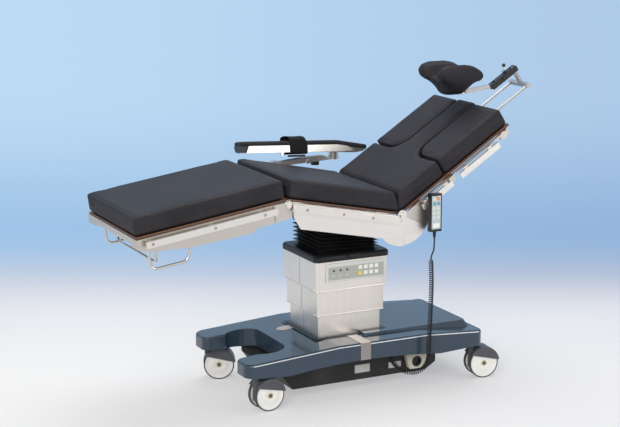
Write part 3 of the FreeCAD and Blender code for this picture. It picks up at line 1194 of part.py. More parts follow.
def build():
    """All nodes of the table, by name."""
    nodes = {}
    housing = castor_housing()
    for name in CASTOR_YAW:
        place = castor_frame(name)
        nodes["castor_" + name] = put(housing, place)
        for side, word in ((-1, "outer"), (1, "inner")):
            sign = side if name.endswith("near") else -side
            nodes["wheel_" + name + "_" + word] = put(castor_wheel(sign), place)
    nodes["base_cover_foot"], nodes["base_cover_head"] = base_covers()
    nodes["base_strip"] = base_strip()
    nodes["chassis_frame"] = chassis()
    nodes["base_tub"] = base_tub()
    nodes["power_socket"] = power_socket()
    nodes["column_seal"] = column_seal()
    nodes["column_cover_lower"] = group([column_sleeve(2, LOWER_Z, True)] + column_foot())
    nodes["column_cover_middle"] = column_sleeve(1, MIDDLE_Z, True)
    nodes["column_cover_upper"] = column_sleeve(0, UPPER_Z, False)
    nodes["lift_guide_outer"] = lift_guide_outer()
    nodes["lift_guide_inner"] = lift_guide_inner()
    nodes["column_cap"] = column_cap()
    nodes["control_panel"] = control_panel()
    nodes["tilt_cradle"] = tilt_cradle()
    nodes["seat_frame"] = seat_frame()
    nodes["seat_covers"] = seat_covers()
    nodes["seat_rails"] = section_rail(SEAT_RAIL_U, SEAT_SCREWS_U, None, SEAT)
    nodes["hinge_fan"] = hinge_fan()
    slope = math.tan(math.radians(SEAT_PITCH))
    ring = CENTRE_IN_SEAT.x - SEAT_RING_SHIFT
    ring_z = SEAT.multVec(V(ring, 0, CROSS_W[0] - 3)).z - 0.3
    nodes["bellows_lower"] = bellows(CAP_Z[1], BELLOWS_MIDDLE_Z, 0.0, slope / 2, 5)
    nodes["bellows_upper"] = bellows(BELLOWS_MIDDLE_Z, ring_z, slope / 2, slope, 5)
    nodes["seat_board"] = put(board((BOARD_INSET, SEAT_LENGTH - BOARD_HINGE_GAP), []), SEAT)
    nodes["leg_board"] = put(board((BOARD_INSET - LEG_LENGTH, -BOARD_INSET), []), LEG)
    nodes["seat_cushion"] = seat_cushion()
    nodes["leg_cushion"] = leg_cushion()
    leg_span = (-LEG_RAIL_U[1], -LEG_RAIL_U[0])
    nodes["leg_rails"] = section_rail(leg_span, [-u for u in LEG_SCREWS_U], LEG_ARM_Y[0], LEG)
    nodes["leg_frame"] = leg_frame()
    nodes["leg_handles"] = leg_handles()
    nodes["back_frame"] = back_frame()
    nodes["back_board"] = back_board()
    nodes["back_cushion"] = back_cushion()
    shoulder = shoulder_cushion()
    nodes["shoulder_cushion_near"] = put(shoulder, BACK)
    nodes["shoulder_cushion_far"] = put(mirror(shoulder), BACK)
    nodes["back_rails"] = back_rails()
    nodes["head_rods"] = head_rods()
    nodes["head_link_upper"] = head_link_upper()
    nodes["head_link_lower"] = head_link_lower()
    nodes["head_lever"] = head_lever()
    nodes["head_pad"] = head_pad()
    nodes["arm_clamp"] = arm_clamp()
    nodes["arm_support"] = arm_support()
    nodes["arm_frame"] = arm_frame()
    nodes["arm_pad"] = arm_pad()
    nodes["arm_strap"] = arm_strap()
    nodes["arm_knob"] = arm_knob()
    nodes["handset_body"] = handset()
    nodes["cord_lead"] = cord(LEAD_POINTS, LEAD_R)
    nodes["cord_curly"] = cord(CURL_POINTS, CURL_R)
    return nodes


def main():
    """Writes each node to its own file and prints the cord's bends."""
    os.makedirs("parts", exist_ok=True)
    for name, shape in build().items():
        print(name, "valid" if shape.isValid() else "NOT VALID", len(shape.Solids), "solids",
              round(shape.Volume / 1000), "cm3")
        shape.exportStep("parts/" + name + ".step")


if __name__ == "__main__":
    main()
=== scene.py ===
"""Looks of a mobile operating table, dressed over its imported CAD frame.

Lengths are metres and angles degrees. X runs to the head end, Y to the far side and Z up from the
floor; the origin is on the floor under the lift column.
"""

import json
import logging
import math
from dataclasses import dataclass, field
from enum import Enum
from typing import Callable, Optional, Sequence, Union

import bpy
import numpy as np
from mathutils import Matrix, Vector

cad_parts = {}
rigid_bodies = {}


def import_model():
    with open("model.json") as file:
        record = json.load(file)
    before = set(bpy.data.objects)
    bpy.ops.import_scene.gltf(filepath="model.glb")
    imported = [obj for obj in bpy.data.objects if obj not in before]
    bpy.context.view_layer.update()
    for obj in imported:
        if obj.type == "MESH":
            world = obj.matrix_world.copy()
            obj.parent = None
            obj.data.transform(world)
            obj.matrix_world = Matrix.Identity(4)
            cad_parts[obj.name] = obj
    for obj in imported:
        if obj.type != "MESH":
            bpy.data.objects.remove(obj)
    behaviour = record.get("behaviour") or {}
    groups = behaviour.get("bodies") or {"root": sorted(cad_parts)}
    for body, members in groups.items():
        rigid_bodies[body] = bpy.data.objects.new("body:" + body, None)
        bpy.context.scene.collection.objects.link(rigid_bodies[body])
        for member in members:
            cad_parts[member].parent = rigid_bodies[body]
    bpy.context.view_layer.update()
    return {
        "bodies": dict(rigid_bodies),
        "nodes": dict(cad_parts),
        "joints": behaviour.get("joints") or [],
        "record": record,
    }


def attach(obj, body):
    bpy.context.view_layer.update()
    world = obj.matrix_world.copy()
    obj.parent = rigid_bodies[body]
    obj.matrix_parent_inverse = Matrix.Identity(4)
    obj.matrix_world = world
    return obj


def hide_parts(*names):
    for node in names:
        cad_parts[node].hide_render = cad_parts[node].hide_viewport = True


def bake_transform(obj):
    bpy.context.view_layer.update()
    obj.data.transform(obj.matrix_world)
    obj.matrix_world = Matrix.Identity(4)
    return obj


LOG = logging.getLogger("operating_table")
Point = Sequence[float]
Colour = tuple[float, float, float]
FaceTest = Callable[[bpy.types.MeshPolygon], bool]


def scaled(values: Sequence[float], factor: float) -> tuple[float, ...]:
    """Multiplies each of some values by one factor."""
    return tuple(factor * value for value in values)


@dataclass(frozen=True)
class Section:
    """The frame of a sloping section: its own x lies along it and its own z stands on its board."""

    x: float
    z: float
    rise: float
    y: float = 0.0
    roll: float = 0.0

    def matrix(self) -> Matrix:
        """Gives the matrix from the section's frame to the row frame."""
        turn = Matrix.Rotation(math.radians(self.roll), 4, "X")
        slope = Matrix.Rotation(-math.radians(self.rise), 4, "Y")
        return Matrix.Translation((self.x, self.y, self.z)) @ turn @ slope


LEVEL = Section(0.0, 0.0, 0.0)
SEAT = Section(-0.3353, 0.8301, -11.54)
LEG = Section(-0.34218, 0.83030, 8.28)
BACK = Section(0.15308, 0.72864, 32.8)
ARM = Section(0.198, 0.9004, -3.3, y=0.386, roll=-10.0)
HOOK = Section(0.28295, 0.79664, 0.0)
PAD = Section(0.61027, 1.15111, 0.0)


NODES: dict[str, bpy.types.Object] = {}


class Value:
    """One number that varies over a surface, used in Python arithmetic."""

    def __init__(self, shader: "Shader", socket: bpy.types.NodeSocket) -> None:
        """Keeps the socket.

        Args:
            shader: The shader whose nodes the socket is on.
            socket: The output socket.
        """
        self.shader = shader
        self.socket = socket

    def _math(self, operation: str, *terms: Union["Value", float]) -> "Value":
        """Adds one Math node over the terms."""
        return self.shader.add("ShaderNodeMath", {"operation": operation}, dict(enumerate(terms)))

    def __add__(self, other: Union["Value", float]) -> "Value":
        """Adds."""
        return self._math("ADD", self, other)

    def __radd__(self, other: float) -> "Value":
        """Adds, reflected."""
        return self._math("ADD", other, self)

    def __sub__(self, other: Union["Value", float]) -> "Value":
        """Subtracts."""
        return self._math("SUBTRACT", self, other)

    def __rsub__(self, other: float) -> "Value":
        """Subtracts, reflected."""
        return self._math("SUBTRACT", other, self)

    def __mul__(self, other: Union["Value", float]) -> "Value":
        """Multiplies."""
        return self._math("MULTIPLY", self, other)

    def __rmul__(self, other: float) -> "Value":
        """Multiplies, reflected."""
        return self._math("MULTIPLY", other, self)

    def __abs__(self) -> "Value":
        """Takes the size without the sign."""
        return self._math("ABSOLUTE", self)

    def __pow__(self, power: float) -> "Value":
        """Raises to a power."""
        return self._math("POWER", self, power)

    def least(self, other: Union["Value", float]) -> "Value":
        """Takes the smaller."""
        return self._math("MINIMUM", self, other)

    def most(self, other: Union["Value", float]) -> "Value":
        """Takes the larger."""
        return self._math("MAXIMUM", self, other)

    def root(self) -> "Value":
        """Takes the square root."""
        return self._math("SQRT", self)

    def step(self, low: float, high: float) -> "Value":
        """Rises smoothly from 0 to 1.

        Args:
            low: Where the rise starts.
            high: Where it ends.

        Returns:
            The stepped value, held between 0 and 1.
        """
        settings = {"interpolation_type": "SMOOTHSTEP"}
        return self.shader.add("ShaderNodeMapRange", settings, {0: self, 1: low, 2: high})

    def band(self, middle: float, half: float, soft: float) -> "Value":
        """Gives 1 within half of the middle, fading to 0 over soft."""
        return 1.0 - abs(self - middle).step(half, half + soft)


class Shader:
    """A material's nodes round one Principled shader."""

    def __init__(self, name: str) -> None:
        """Starts an empty material.

        Args:
            name: The material's name.
        """
        self.material = bpy.data.materials.new(name)
        self.material.use_nodes = True
        self.tree = self.material.node_tree
        self.tree.nodes.clear()
        self.surface = self.tree.nodes.new("ShaderNodeBsdfPrincipled")
        output = self.tree.nodes.new("ShaderNodeOutputMaterial")
        self.tree.links.new(self.surface.outputs[0], output.inputs[0])

    def add(self, kind: str, settings: Optional[dict] = None, inputs: Optional[dict] = None,
            output: Union[int, str] = 0) -> Value:
        """Adds any node.

        Args:
            kind: The node's type.
            settings: Its settings, set first.
            inputs: The values or links of its sockets, by name or place.
            output: The output socket to give back.

        Returns:
            The output as a value.
        """
        node = self.tree.nodes.new(kind)
        for name, value in (settings or {}).items():
            setattr(node, name, value)
        for key, value in (inputs or {}).items():
            self._feed(node.inputs[key], value)
        return Value(self, node.outputs[output])

    def _feed(self, socket: bpy.types.NodeSocket, value: object) -> None:
        """Links a value to a socket, or sets the socket's own constant."""
        if isinstance(value, Value):
            self.tree.links.new(value.socket, socket)
        elif socket.type == "RGBA" and len(value) == 3:
            socket.default_value = (*value, 1.0)
        else:
            socket.default_value = value

    def set(self, **sockets: object) -> None:
        """Feeds the Principled shader's sockets; an underscore stands for a space."""
        for name, value in sockets.items():
            self._feed(self.surface.inputs[name.replace("_", " ")], value)

    def place(self, section: Section = LEVEL) -> Value:
        """Gives the point being shaded, in a section's own frame."""
        point = self.add("ShaderNodeTexCoord", output="Object")
        if section is LEVEL:
            return point
        back = section.matrix().inverted()
        turn = back.to_euler("XYZ")
        return self.add("ShaderNodeMapping", {}, {0: point, 1: back.to_translation(), 2: turn})

    def axes(self, point: Value) -> tuple[Value, Value, Value]:
        """Splits a point into its x, y and z."""
        parts = self.add("ShaderNodeSeparateXYZ", {}, {0: point})
        node = parts.socket.node
        return parts, Value(self, node.outputs[1]), Value(self, node.outputs[2])

    def stretch(self, point: Value, scale: Point) -> Value:
        """Scales a point by a different amount along each axis."""
        return self.add("ShaderNodeVectorMath", {"operation": "MULTIPLY"}, {0: point, 1: scale})

    def noise(self, point: Value, scale: float, detail: float = 2.0, rough: float = 0.5) -> Value:
        """Adds soft noise, from 0 to 1, at so many features per metre."""
        inputs = {"Vector": point, "Scale": scale, "Detail": detail, "Roughness": rough}
        return self.add("ShaderNodeTexNoise", {}, inputs)

    def cells(self, point: Value, scale: float) -> Value:
        """Adds the distance to the edge of small cells, as in leather grain."""
        settings = {"feature": "DISTANCE_TO_EDGE"}
        return self.add("ShaderNodeTexVoronoi", settings, {"Vector": point, "Scale": scale})

    def wave(self, point: Value, scale: float, axis: str) -> Value:
        """Adds straight waves across an axis."""
        settings = {"wave_type": "BANDS", "bands_direction": axis}
        return self.add("ShaderNodeTexWave", settings, {"Vector": point, "Scale": scale}, 1)

    def mix(self, share: Union[Value, float], first: object, second: object) -> Value:
        """Mixes two colours."""
        settings = {"data_type": "RGBA"}
        return self.add("ShaderNodeMix", settings, {0: share, 6: first, 7: second}, 2)

    def bump(self, height: Value, depth: float, strength: float = 1.0,
             normal: Optional[Value] = None) -> Value:
        """Turns a height of 0 to 1 into a bump of a depth in metres."""
        inputs = {"Strength": strength, "Distance": depth, "Height": height}
        if normal is not None:
            inputs["Normal"] = normal
        return self.add("ShaderNodeBump", {}, inputs)


class Grain(Enum):
    """The direction that a steel sheet is brushed in, as feature scales along X, Y and Z."""

    ALONG_X = (5.0, 900.0, 900.0)
    ALONG_Y = (900.0, 5.0, 900.0)
    ALONG_Z = (900.0, 900.0, 5.0)


@dataclass(frozen=True)
class Vinyl:
    """Satin upholstery vinyl with a fine leather grain."""

    tone: Colour = (0.026, 0.0245, 0.0285)
    slot: str = "vinyl"

    def make(self, section: Section = LEVEL) -> bpy.types.Material:
        """Makes the material, with its grain laid in a section's frame."""
        shader = Shader("charcoal_vinyl")
        point = shader.place(section)
        grain = shader.cells(point, 820.0)
        cloudy = shader.noise(point, 7.0, 3.0, 0.6)
        wrinkle = shader.noise(shader.stretch(point, (1.0, 1.0, 2.4)), 26.0, 3.0, 0.5)
        fleck = shader.noise(point, 2200.0, 1.0)
        dark = scaled(self.tone, 0.80)
        light = scaled(self.tone, 1.24)
        base = shader.mix(cloudy.step(0.25, 0.75), dark, light)
        base = shader.mix(fleck * 0.25, base, scaled(self.tone, 1.7))
        height = grain.step(0.0, 0.35)
        normal = shader.bump(wrinkle, 0.0016, 0.55)
        normal = shader.bump(height, 0.00016, 0.75, normal)
        shader.set(Base_Color=base, Roughness=0.44 + 0.12 * cloudy + 0.06 * height, Normal=normal,
                   Specular_IOR_Level=0.09)
        return shader.material


@dataclass(frozen=True)
class Steel:
    """Brushed stainless steel."""

    tone: Colour = (0.72, 0.69, 0.65)
    rough: float = 0.30
    grain: Grain = Grain.ALONG_X
    slot: str = "steel"
    brushing: float = 1.0

    def make(self, section: Section = LEVEL) -> bpy.types.Material:
        """Makes the material, brushed along an axis of a section's frame."""
        shader = Shader("brushed_steel_" + self.grain.name.lower())
        point = shader.place(section)
        lines = shader.noise(shader.stretch(point, self.grain.value), 1.0, 3.0, 0.65)
        broad = shader.noise(shader.stretch(point, scaled(self.grain.value, 0.05)), 1.0, 2.0)
        smudge = shader.noise(point, 11.0, 4.0, 0.6)
        dark = scaled(self.tone, 1.0 - 0.14 * self.brushing)
        light = tuple(min(1.0, (1.0 + 0.10 * self.brushing) * c) for c in self.tone)
        base = shader.mix(lines * 0.7 + broad * 0.3, dark, light)
        rough = self.rough - 0.06 + 0.10 * self.brushing * lines + 0.08 * smudge
        normal = shader.bump(lines, 0.00006 * self.brushing, 0.5)
        shader.set(Base_Color=base, Metallic=1.0, Roughness=rough, Normal=normal)
        return shader.material


@dataclass(frozen=True)
class Moulding:
    """Moulded plastic, rubber or powder coat with a fine surface texture."""

    name: str
    tone: Colour
    rough: float
    slot: str
    texture: float = 900.0
    depth: float = 0.00008
    coat: float = 0.0
    dust: float = 0.10
    shine: float = 0.30

    def make(self, section: Section = LEVEL) -> bpy.types.Material:
        """Makes the material."""
        shader = Shader(self.name)
        point = shader.place(section)
        fine = shader.noise(point, self.texture, 2.0, 0.6)
        cloudy = shader.noise(point, 9.0, 4.0, 0.6)
        pale = tuple(c + self.dust * 0.35 * (0.6 - c) if c < 0.6 else c * 0.93 for c in self.tone)
        base = shader.mix(cloudy.step(0.40, 0.85), self.tone, pale)
        rough = self.rough - 0.05 + 0.07 * fine + 0.08 * cloudy
        shader.set(Base_Color=base, Roughness=rough, Normal=shader.bump(fine, self.depth, 0.6),
                   Coat_Weight=self.coat, Coat_Roughness=0.08, Specular_IOR_Level=self.shine)
        return shader.material


@dataclass(frozen=True)
class BaseGloss:
    """Slate-blue gloss moulding of the base cover, with a painted highlight: a thin pale line along
    its top edge.
    """

    tone: Colour = (0.030, 0.050, 0.078)
    # line is the colour of the painted highlight along the top edge.
    line: Colour = (0.62, 0.64, 0.66)
    slot: str = "base_gloss"
    deck: float = 0.222
    foot_slope: tuple[float, float] = (0.118, 0.07035)
    head_slope: tuple[float, float] = (0.280, 0.06985)

    def make(self, section: Section = LEVEL) -> bpy.types.Material:
        """Makes the material."""
        shader = Shader("slate_gloss")
        point = shader.place(section)
        x, y, z = shader.axes(point)
        foot = self.deck + (x + self.foot_slope[0]) * self.foot_slope[1]
        head = self.deck - (x - self.head_slope[0]) * self.head_slope[1]
        deck = foot.least(self.deck).least(head)
        fall = deck - z
        # The pale line is a painted highlight, where the rounded edge between deck and side catches
        # the light.
        edge_highlight = fall.band(0.0062, 0.0014, 0.0005) * abs(y).step(0.2695, 0.2705)
        edge_highlight = edge_highlight * (1.0 - abs(x - 0.021).step(0.508, 0.511))
        peel = shader.noise(point, 160.0, 1.0)
        cloudy = shader.noise(point, 5.0, 4.0, 0.6)
        streaks = shader.stretch(point, (30.0, 30.0, 220.0))
        scuff = shader.noise(streaks, 1.0, 4.0, 0.7).step(0.60, 0.80)
        low = 1.0 - z.step(0.135, 0.165)
        base = shader.mix(cloudy, scaled(self.tone, 0.88), scaled(self.tone, 1.12))
        base = shader.mix(scuff * low * 0.35, base, (0.16, 0.18, 0.20))
        base = shader.mix(edge_highlight, base, self.line)
        rough = 0.17 + 0.05 * cloudy + 0.25 * scuff * low
        shader.set(Base_Color=base, Roughness=rough, Normal=shader.bump(peel, 0.00012, 0.25),
                   Coat_Weight=0.25, Coat_Roughness=0.05, Specular_IOR_Level=0.35)
        return shader.material


@dataclass(frozen=True)
class Laminate:
    """Brown laminate board whose edge shows a thin pale line under the cushion."""

    slot: str = "board"

    def make(self, section: Section = LEVEL) -> bpy.types.Material:
        """Makes the material, with its plies parallel to a section's board."""
        shader = Shader("brown_laminate")
        point = shader.place(section)
        z = shader.axes(point)[2]
        fibre = shader.noise(shader.stretch(point, (40.0, 40.0, 1500.0)), 1.0, 3.0, 0.6)
        ply = shader.wave(point, 90.0, "Z")
        base = shader.mix(fibre * 0.6 + ply * 0.4, (0.060, 0.022, 0.013), (0.130, 0.055, 0.032))
        pale = z.band(-0.0010, 0.0005, 0.0003) * 0.5
        base = shader.mix(pale, base, (0.34, 0.26, 0.20))
        shader.set(Base_Color=base, Roughness=0.42 + 0.10 * fibre,
                   Normal=shader.bump(fibre, 0.00010, 0.5))
        return shader.material


@dataclass(frozen=True)
class Webbing:
    """Black woven strap."""

    slot: str = "strap"

    def make(self, section: Section = ARM) -> bpy.types.Material:
        """Makes the material, with ribs across the strap's length."""
        shader = Shader("black_webbing")
        point = shader.place(section)
        ribs = shader.wave(point, 110.0, "X")
        cross = shader.wave(point, 70.0, "DIAGONAL")
        fuzz = shader.noise(point, 1800.0, 2.0)
        weave = ribs * 0.6 + cross * 0.4
        base = shader.mix(weave * 0.6 + fuzz * 0.4, (0.006, 0.006, 0.007), (0.026, 0.025, 0.028))
        shader.set(Base_Color=base, Roughness=0.78 + 0.10 * fuzz,
                   Normal=shader.bump(weave, 0.0004, 0.8),
                   Specular_IOR_Level=0.12)
        return shader.material


@dataclass(frozen=True)
class TwoPart:
    """A finish for a node whose pieces differ: one tone inside a region and another outside."""

    name: str
    inside: Colour
    outside: Colour
    rough: tuple[float, float]
    metal: tuple[float, float]
    region: Callable[[Value, Value, Value], Value]

    def make(self, section: Section = LEVEL) -> bpy.types.Material:
        """Makes the material, with the region told in a section's frame."""
        shader = Shader(self.name)
        point = shader.place(section)
        mask = self.region(*shader.axes(point))
        lines = shader.noise(shader.stretch(point, Grain.ALONG_X.value), 1.0, 3.0, 0.6)
        cloudy = shader.noise(point, 12.0, 3.0, 0.6)
        fade = lines * 0.5 + cloudy * 0.5
        inner = shader.mix(fade, scaled(self.inside, 0.85), scaled(self.inside, 1.1))
        outer = shader.mix(fade, scaled(self.outside, 0.88), scaled(self.outside, 1.08))
        rough = self.rough[1] + mask * (self.rough[0] - self.rough[1]) + 0.08 * fade
        metal = self.metal[1] + mask * (self.metal[0] - self.metal[1])
        shader.set(Base_Color=shader.mix(mask, outer, inner), Roughness=rough, Metallic=metal,
                   Normal=shader.bump(fade, 0.00006, 0.4))
        return shader.material


VINYL = Vinyl()
STEEL = Steel(tone=(0.80, 0.77, 0.73), rough=0.30)
ROD = Steel(tone=(0.38, 0.375, 0.37), rough=0.38, brushing=0.1)
# A darker copy of the steel: painted shade for the frames below their rails.
STEEL_SHADED = Steel(tone=(0.60, 0.565, 0.52), rough=0.32)
STEEL_UPRIGHT = Steel(tone=(0.78, 0.74, 0.69), rough=0.33, grain=Grain.ALONG_Z)
STEEL_CROSS = Steel(tone=(0.34, 0.32, 0.30), rough=0.22, grain=Grain.ALONG_Y)
STEEL_DARK = Steel(tone=(0.30, 0.30, 0.31), rough=0.42, slot="steel_dark")
BRIGHT = Steel(tone=(0.82, 0.80, 0.77), rough=0.18)
GLOSS = BaseGloss()
LAMINATE = Laminate()
WEBBING = Webbing()
BLACK = Moulding("black_moulding", (0.009, 0.0095, 0.012), 0.36, "black_moulding", dust=0.03)
RUBBER = Moulding("black_rubber", (0.009, 0.009, 0.010), 0.34, "black_rubber", texture=500.0,
                  dust=0.03, shine=0.5)
TYRE = Moulding("castor_tyre", (0.055, 0.058, 0.062), 0.55, "wheel", texture=700.0)
DISC = Moulding("castor_disc", (0.82, 0.82, 0.80), 0.34, "wheel", texture=600.0, dust=0.3)
HUB = Moulding("castor_hub", (0.42, 0.36, 0.13), 0.45, "wheel")
HOOD = Moulding("castor_hood", (0.072, 0.077, 0.088), 0.36, "hood", texture=1100.0, dust=0.12)
TUB = Moulding("tub_black", (0.016, 0.015, 0.016), 0.50, "tub")
CHASSIS = Moulding("chassis_black", (0.02, 0.02, 0.022), 0.45, "chassis", texture=400.0)
CORD = Moulding("cord_black", (0.006, 0.006, 0.007), 0.42, "cord", texture=1500.0, dust=0.01)
SHELL = Moulding("handset_shell", (0.014, 0.015, 0.018), 0.36, "handset", dust=0.04)
SKIN = Moulding("handset_membrane", (0.46, 0.53, 0.56), 0.34, "handset")
PLATE = Moulding("panel_plate", (0.58, 0.59, 0.58), 0.32, "panel", coat=0.2)
SCREEN = Moulding("panel_membrane", (0.38, 0.40, 0.36), 0.36, "panel", coat=0.3)
PAPER = Moulding("bare_sticker", (0.62, 0.62, 0.60), 0.45, "panel", texture=1500.0)
RIM = Moulding("red_sticker_rim", (0.42, 0.045, 0.035), 0.45, "panel", texture=1500.0)
FOIL = Moulding("bare_label_foil", (0.50, 0.50, 0.49), 0.40, "panel", texture=1500.0)
BLACK_METAL = Moulding("black_anodised", (0.014, 0.014, 0.015), 0.30, "black_metal", texture=1500.0)


class KeyTone(Enum):
    """The colours of membrane keys."""

    GREEN = (0.46, 0.49, 0.42)
    PALE = (0.62, 0.64, 0.58)
    YELLOW = (0.75, 0.58, 0.10)
    ORANGE = (0.78, 0.26, 0.06)
    TEAL = (0.10, 0.36, 0.38)
    DARK = (0.06, 0.07, 0.08)
    WHITE = (0.80, 0.80, 0.78)


class Shape:
    """A mesh on the bench, shaped with Blender's own operators in a section's frame."""

    def __init__(self, name: str, obj: bpy.types.Object) -> None:
        """Names a new primitive.

        Args:
            name: The piece's name.
            obj: The primitive's object, which is active.
        """
        self.obj = obj
        self.obj.name = name
        self.obj.data.name = name
        bpy.ops.object.transform_apply(location=True, rotation=True, scale=True)

    @staticmethod
    def clear() -> None:
        """Deselects everything, the CAD nodes included."""
        bpy.ops.object.select_all(action="DESELECT")

    @classmethod
    def mesh(cls, name: str, vertices: Sequence[Point], faces: Sequence[Sequence[int]]) -> "Shape":
        """Starts from plain mesh data, with its normals turned outwards."""
        mesh = bpy.data.meshes.new(name)
        mesh.from_pydata(vertices, [], faces)
        obj = bpy.data.objects.new(name, mesh)
        bpy.context.collection.objects.link(obj)
        cls.take(obj)
        shape = cls(name, obj)
        return shape.edit(lambda face: True, bpy.ops.mesh.normals_make_consistent, inside=False)

    @staticmethod
    def take(obj: bpy.types.Object) -> None:
        """Makes an object the only selected one, and the active one."""
        bpy.ops.object.select_all(action="DESELECT")
        bpy.context.view_layer.objects.active = obj
        obj.select_set(True)

    @classmethod
    def block(cls, name: str, low: Point, high: Point) -> "Shape":
        """Starts from a block between two corners."""
        cls.clear()
        middle = [(a + b) / 2 for a, b in zip(low, high)]
        bpy.ops.mesh.primitive_cube_add(size=1.0, location=middle)
        bpy.context.object.scale = [b - a for a, b in zip(low, high)]
        return cls(name, bpy.context.object)

    @classmethod
    def drum(cls, name: str, start: Point, end: Point, radius: float, sides: int = 32) -> "Shape":
        """Starts from a round bar between two points."""
        cls.clear()
        run = Vector(end) - Vector(start)
        middle = (Vector(end) + Vector(start)) / 2
        turn = run.to_track_quat("Z", "Y").to_euler()
        bpy.ops.mesh.primitive_cylinder_add(vertices=sides, radius=radius, depth=run.length,
                                            location=middle, rotation=turn)
        return cls(name, bpy.context.object)

    def pick(self, test: FaceTest) -> None:
        """Selects the faces that pass a test, for the next operator."""
        mesh = self.obj.data
        for part in (*mesh.vertices, *mesh.edges):
            part.select = False
        for face in mesh.polygons:
            face.select = bool(test(face))

    def edit(self, test: FaceTest, operator: Callable, **settings: object) -> "Shape":
        """Runs one edit-mode operator on the faces that pass a test."""
        self.take(self.obj)
        bpy.context.tool_settings.mesh_select_mode = (False, False, True)
        self.pick(test)
        bpy.ops.object.mode_set(mode="EDIT")
        operator(**settings)
        bpy.ops.object.mode_set(mode="OBJECT")
        return self

    def modify(self, kind: str, **settings: object) -> "Shape":
        """Adds a modifier and applies it."""
        self.take(self.obj)
        modifier = self.obj.modifiers.new(kind.title(), kind)
        for name, value in settings.items():
            setattr(modifier, name, value)
        bpy.ops.object.modifier_apply(modifier=modifier.name)
        return self

    def soften(self, width: float, segments: int = 3) -> "Shape":
        """Rounds the sharp edges."""
        return self.modify("BEVEL", width=width, segments=segments, limit_method="ANGLE",
                           angle_limit=math.radians(35), harden_normals=False)

    def corners(self, width: float, segments: int = 5) -> "Shape":
        """Rounds only the upright edges of a block."""
        self.take(self.obj)
        bpy.context.tool_settings.mesh_select_mode = (False, True, False)
        self.pick(lambda face: False)
        points = self.obj.data.vertices
        for edge in self.obj.data.edges:
            run = points[edge.vertices[1]].co - points[edge.vertices[0]].co
            edge.select = abs(run.z) > 0.9 * run.length
        bpy.ops.object.mode_set(mode="EDIT")
        bpy.ops.mesh.bevel(offset=width, segments=segments, affect="EDGES")
        bpy.ops.object.mode_set(mode="OBJECT")
        return self

    def smooth(self, angle: float = 35.0) -> "Shape":
        """Shades smoothly across edges blunter than an angle."""
        self.take(self.obj)
        bpy.ops.object.shade_smooth_by_angle(angle=math.radians(angle))
        return self

    def join(self, others: Sequence["Shape"]) -> "Shape":
        """Takes other shapes into this one."""
        self.clear()
        for other in others:
            other.obj.select_set(True)
        self.obj.select_set(True)
        bpy.context.view_layer.objects.active = self.obj
        bpy.ops.object.join()
        return self

    @staticmethod
    def group(name: str, shapes: Sequence["Shape"]) -> "Shape":
        """Joins shapes into the first and names it."""
        shapes[0].join(shapes[1:])
        shapes[0].obj.name = name
        return shapes[0]

    def copy(self, name: str, move: Matrix) -> "Shape":
        """Makes a copy with its own mesh, moved by a matrix."""
        twin = self.obj.copy()
        twin.data = self.obj.data.copy()
        bpy.context.collection.objects.link(twin)
        twin.data.transform(move)
        other = Shape.__new__(Shape)
        other.obj = twin
        twin.name = name
        twin.data.name = name
        return other

    def paint(self, material: bpy.types.Material) -> "Shape":
        """Gives the whole shape one material."""
        self.obj.data.materials.clear()
        self.obj.data.materials.append(material)
        return self

    def place(self, section: Section) -> "Shape":
        """Carries the mesh from a section's frame to the row frame."""
        self.obj.data.transform(section.matrix())
        self.obj.data.update()
        return self

    def ride(self, body: str, slot: str, *nodes: str) -> bpy.types.Object:
        """Hands the finished piece to a body.

        Args:
            body: The CAD body that it moves with.
            slot: The record's material slot; not used.
            nodes: The CAD nodes that it stands for.

        Returns:
            The piece's object.
        """
        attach(self.obj, body)
        if nodes:
            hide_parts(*nodes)
        LOG.info("piece %s rides on %s, %d faces", self.obj.name, body, len(self.obj.data.polygons))
        return self.obj


def facing(x: float = 0.0, y: float = 0.0, z: float = 0.0) -> FaceTest:
    """Gives a test for the faces that look along a direction."""
    way = Vector((x, y, z)).normalized()
    return lambda face: face.normal.dot(way) > 0.95


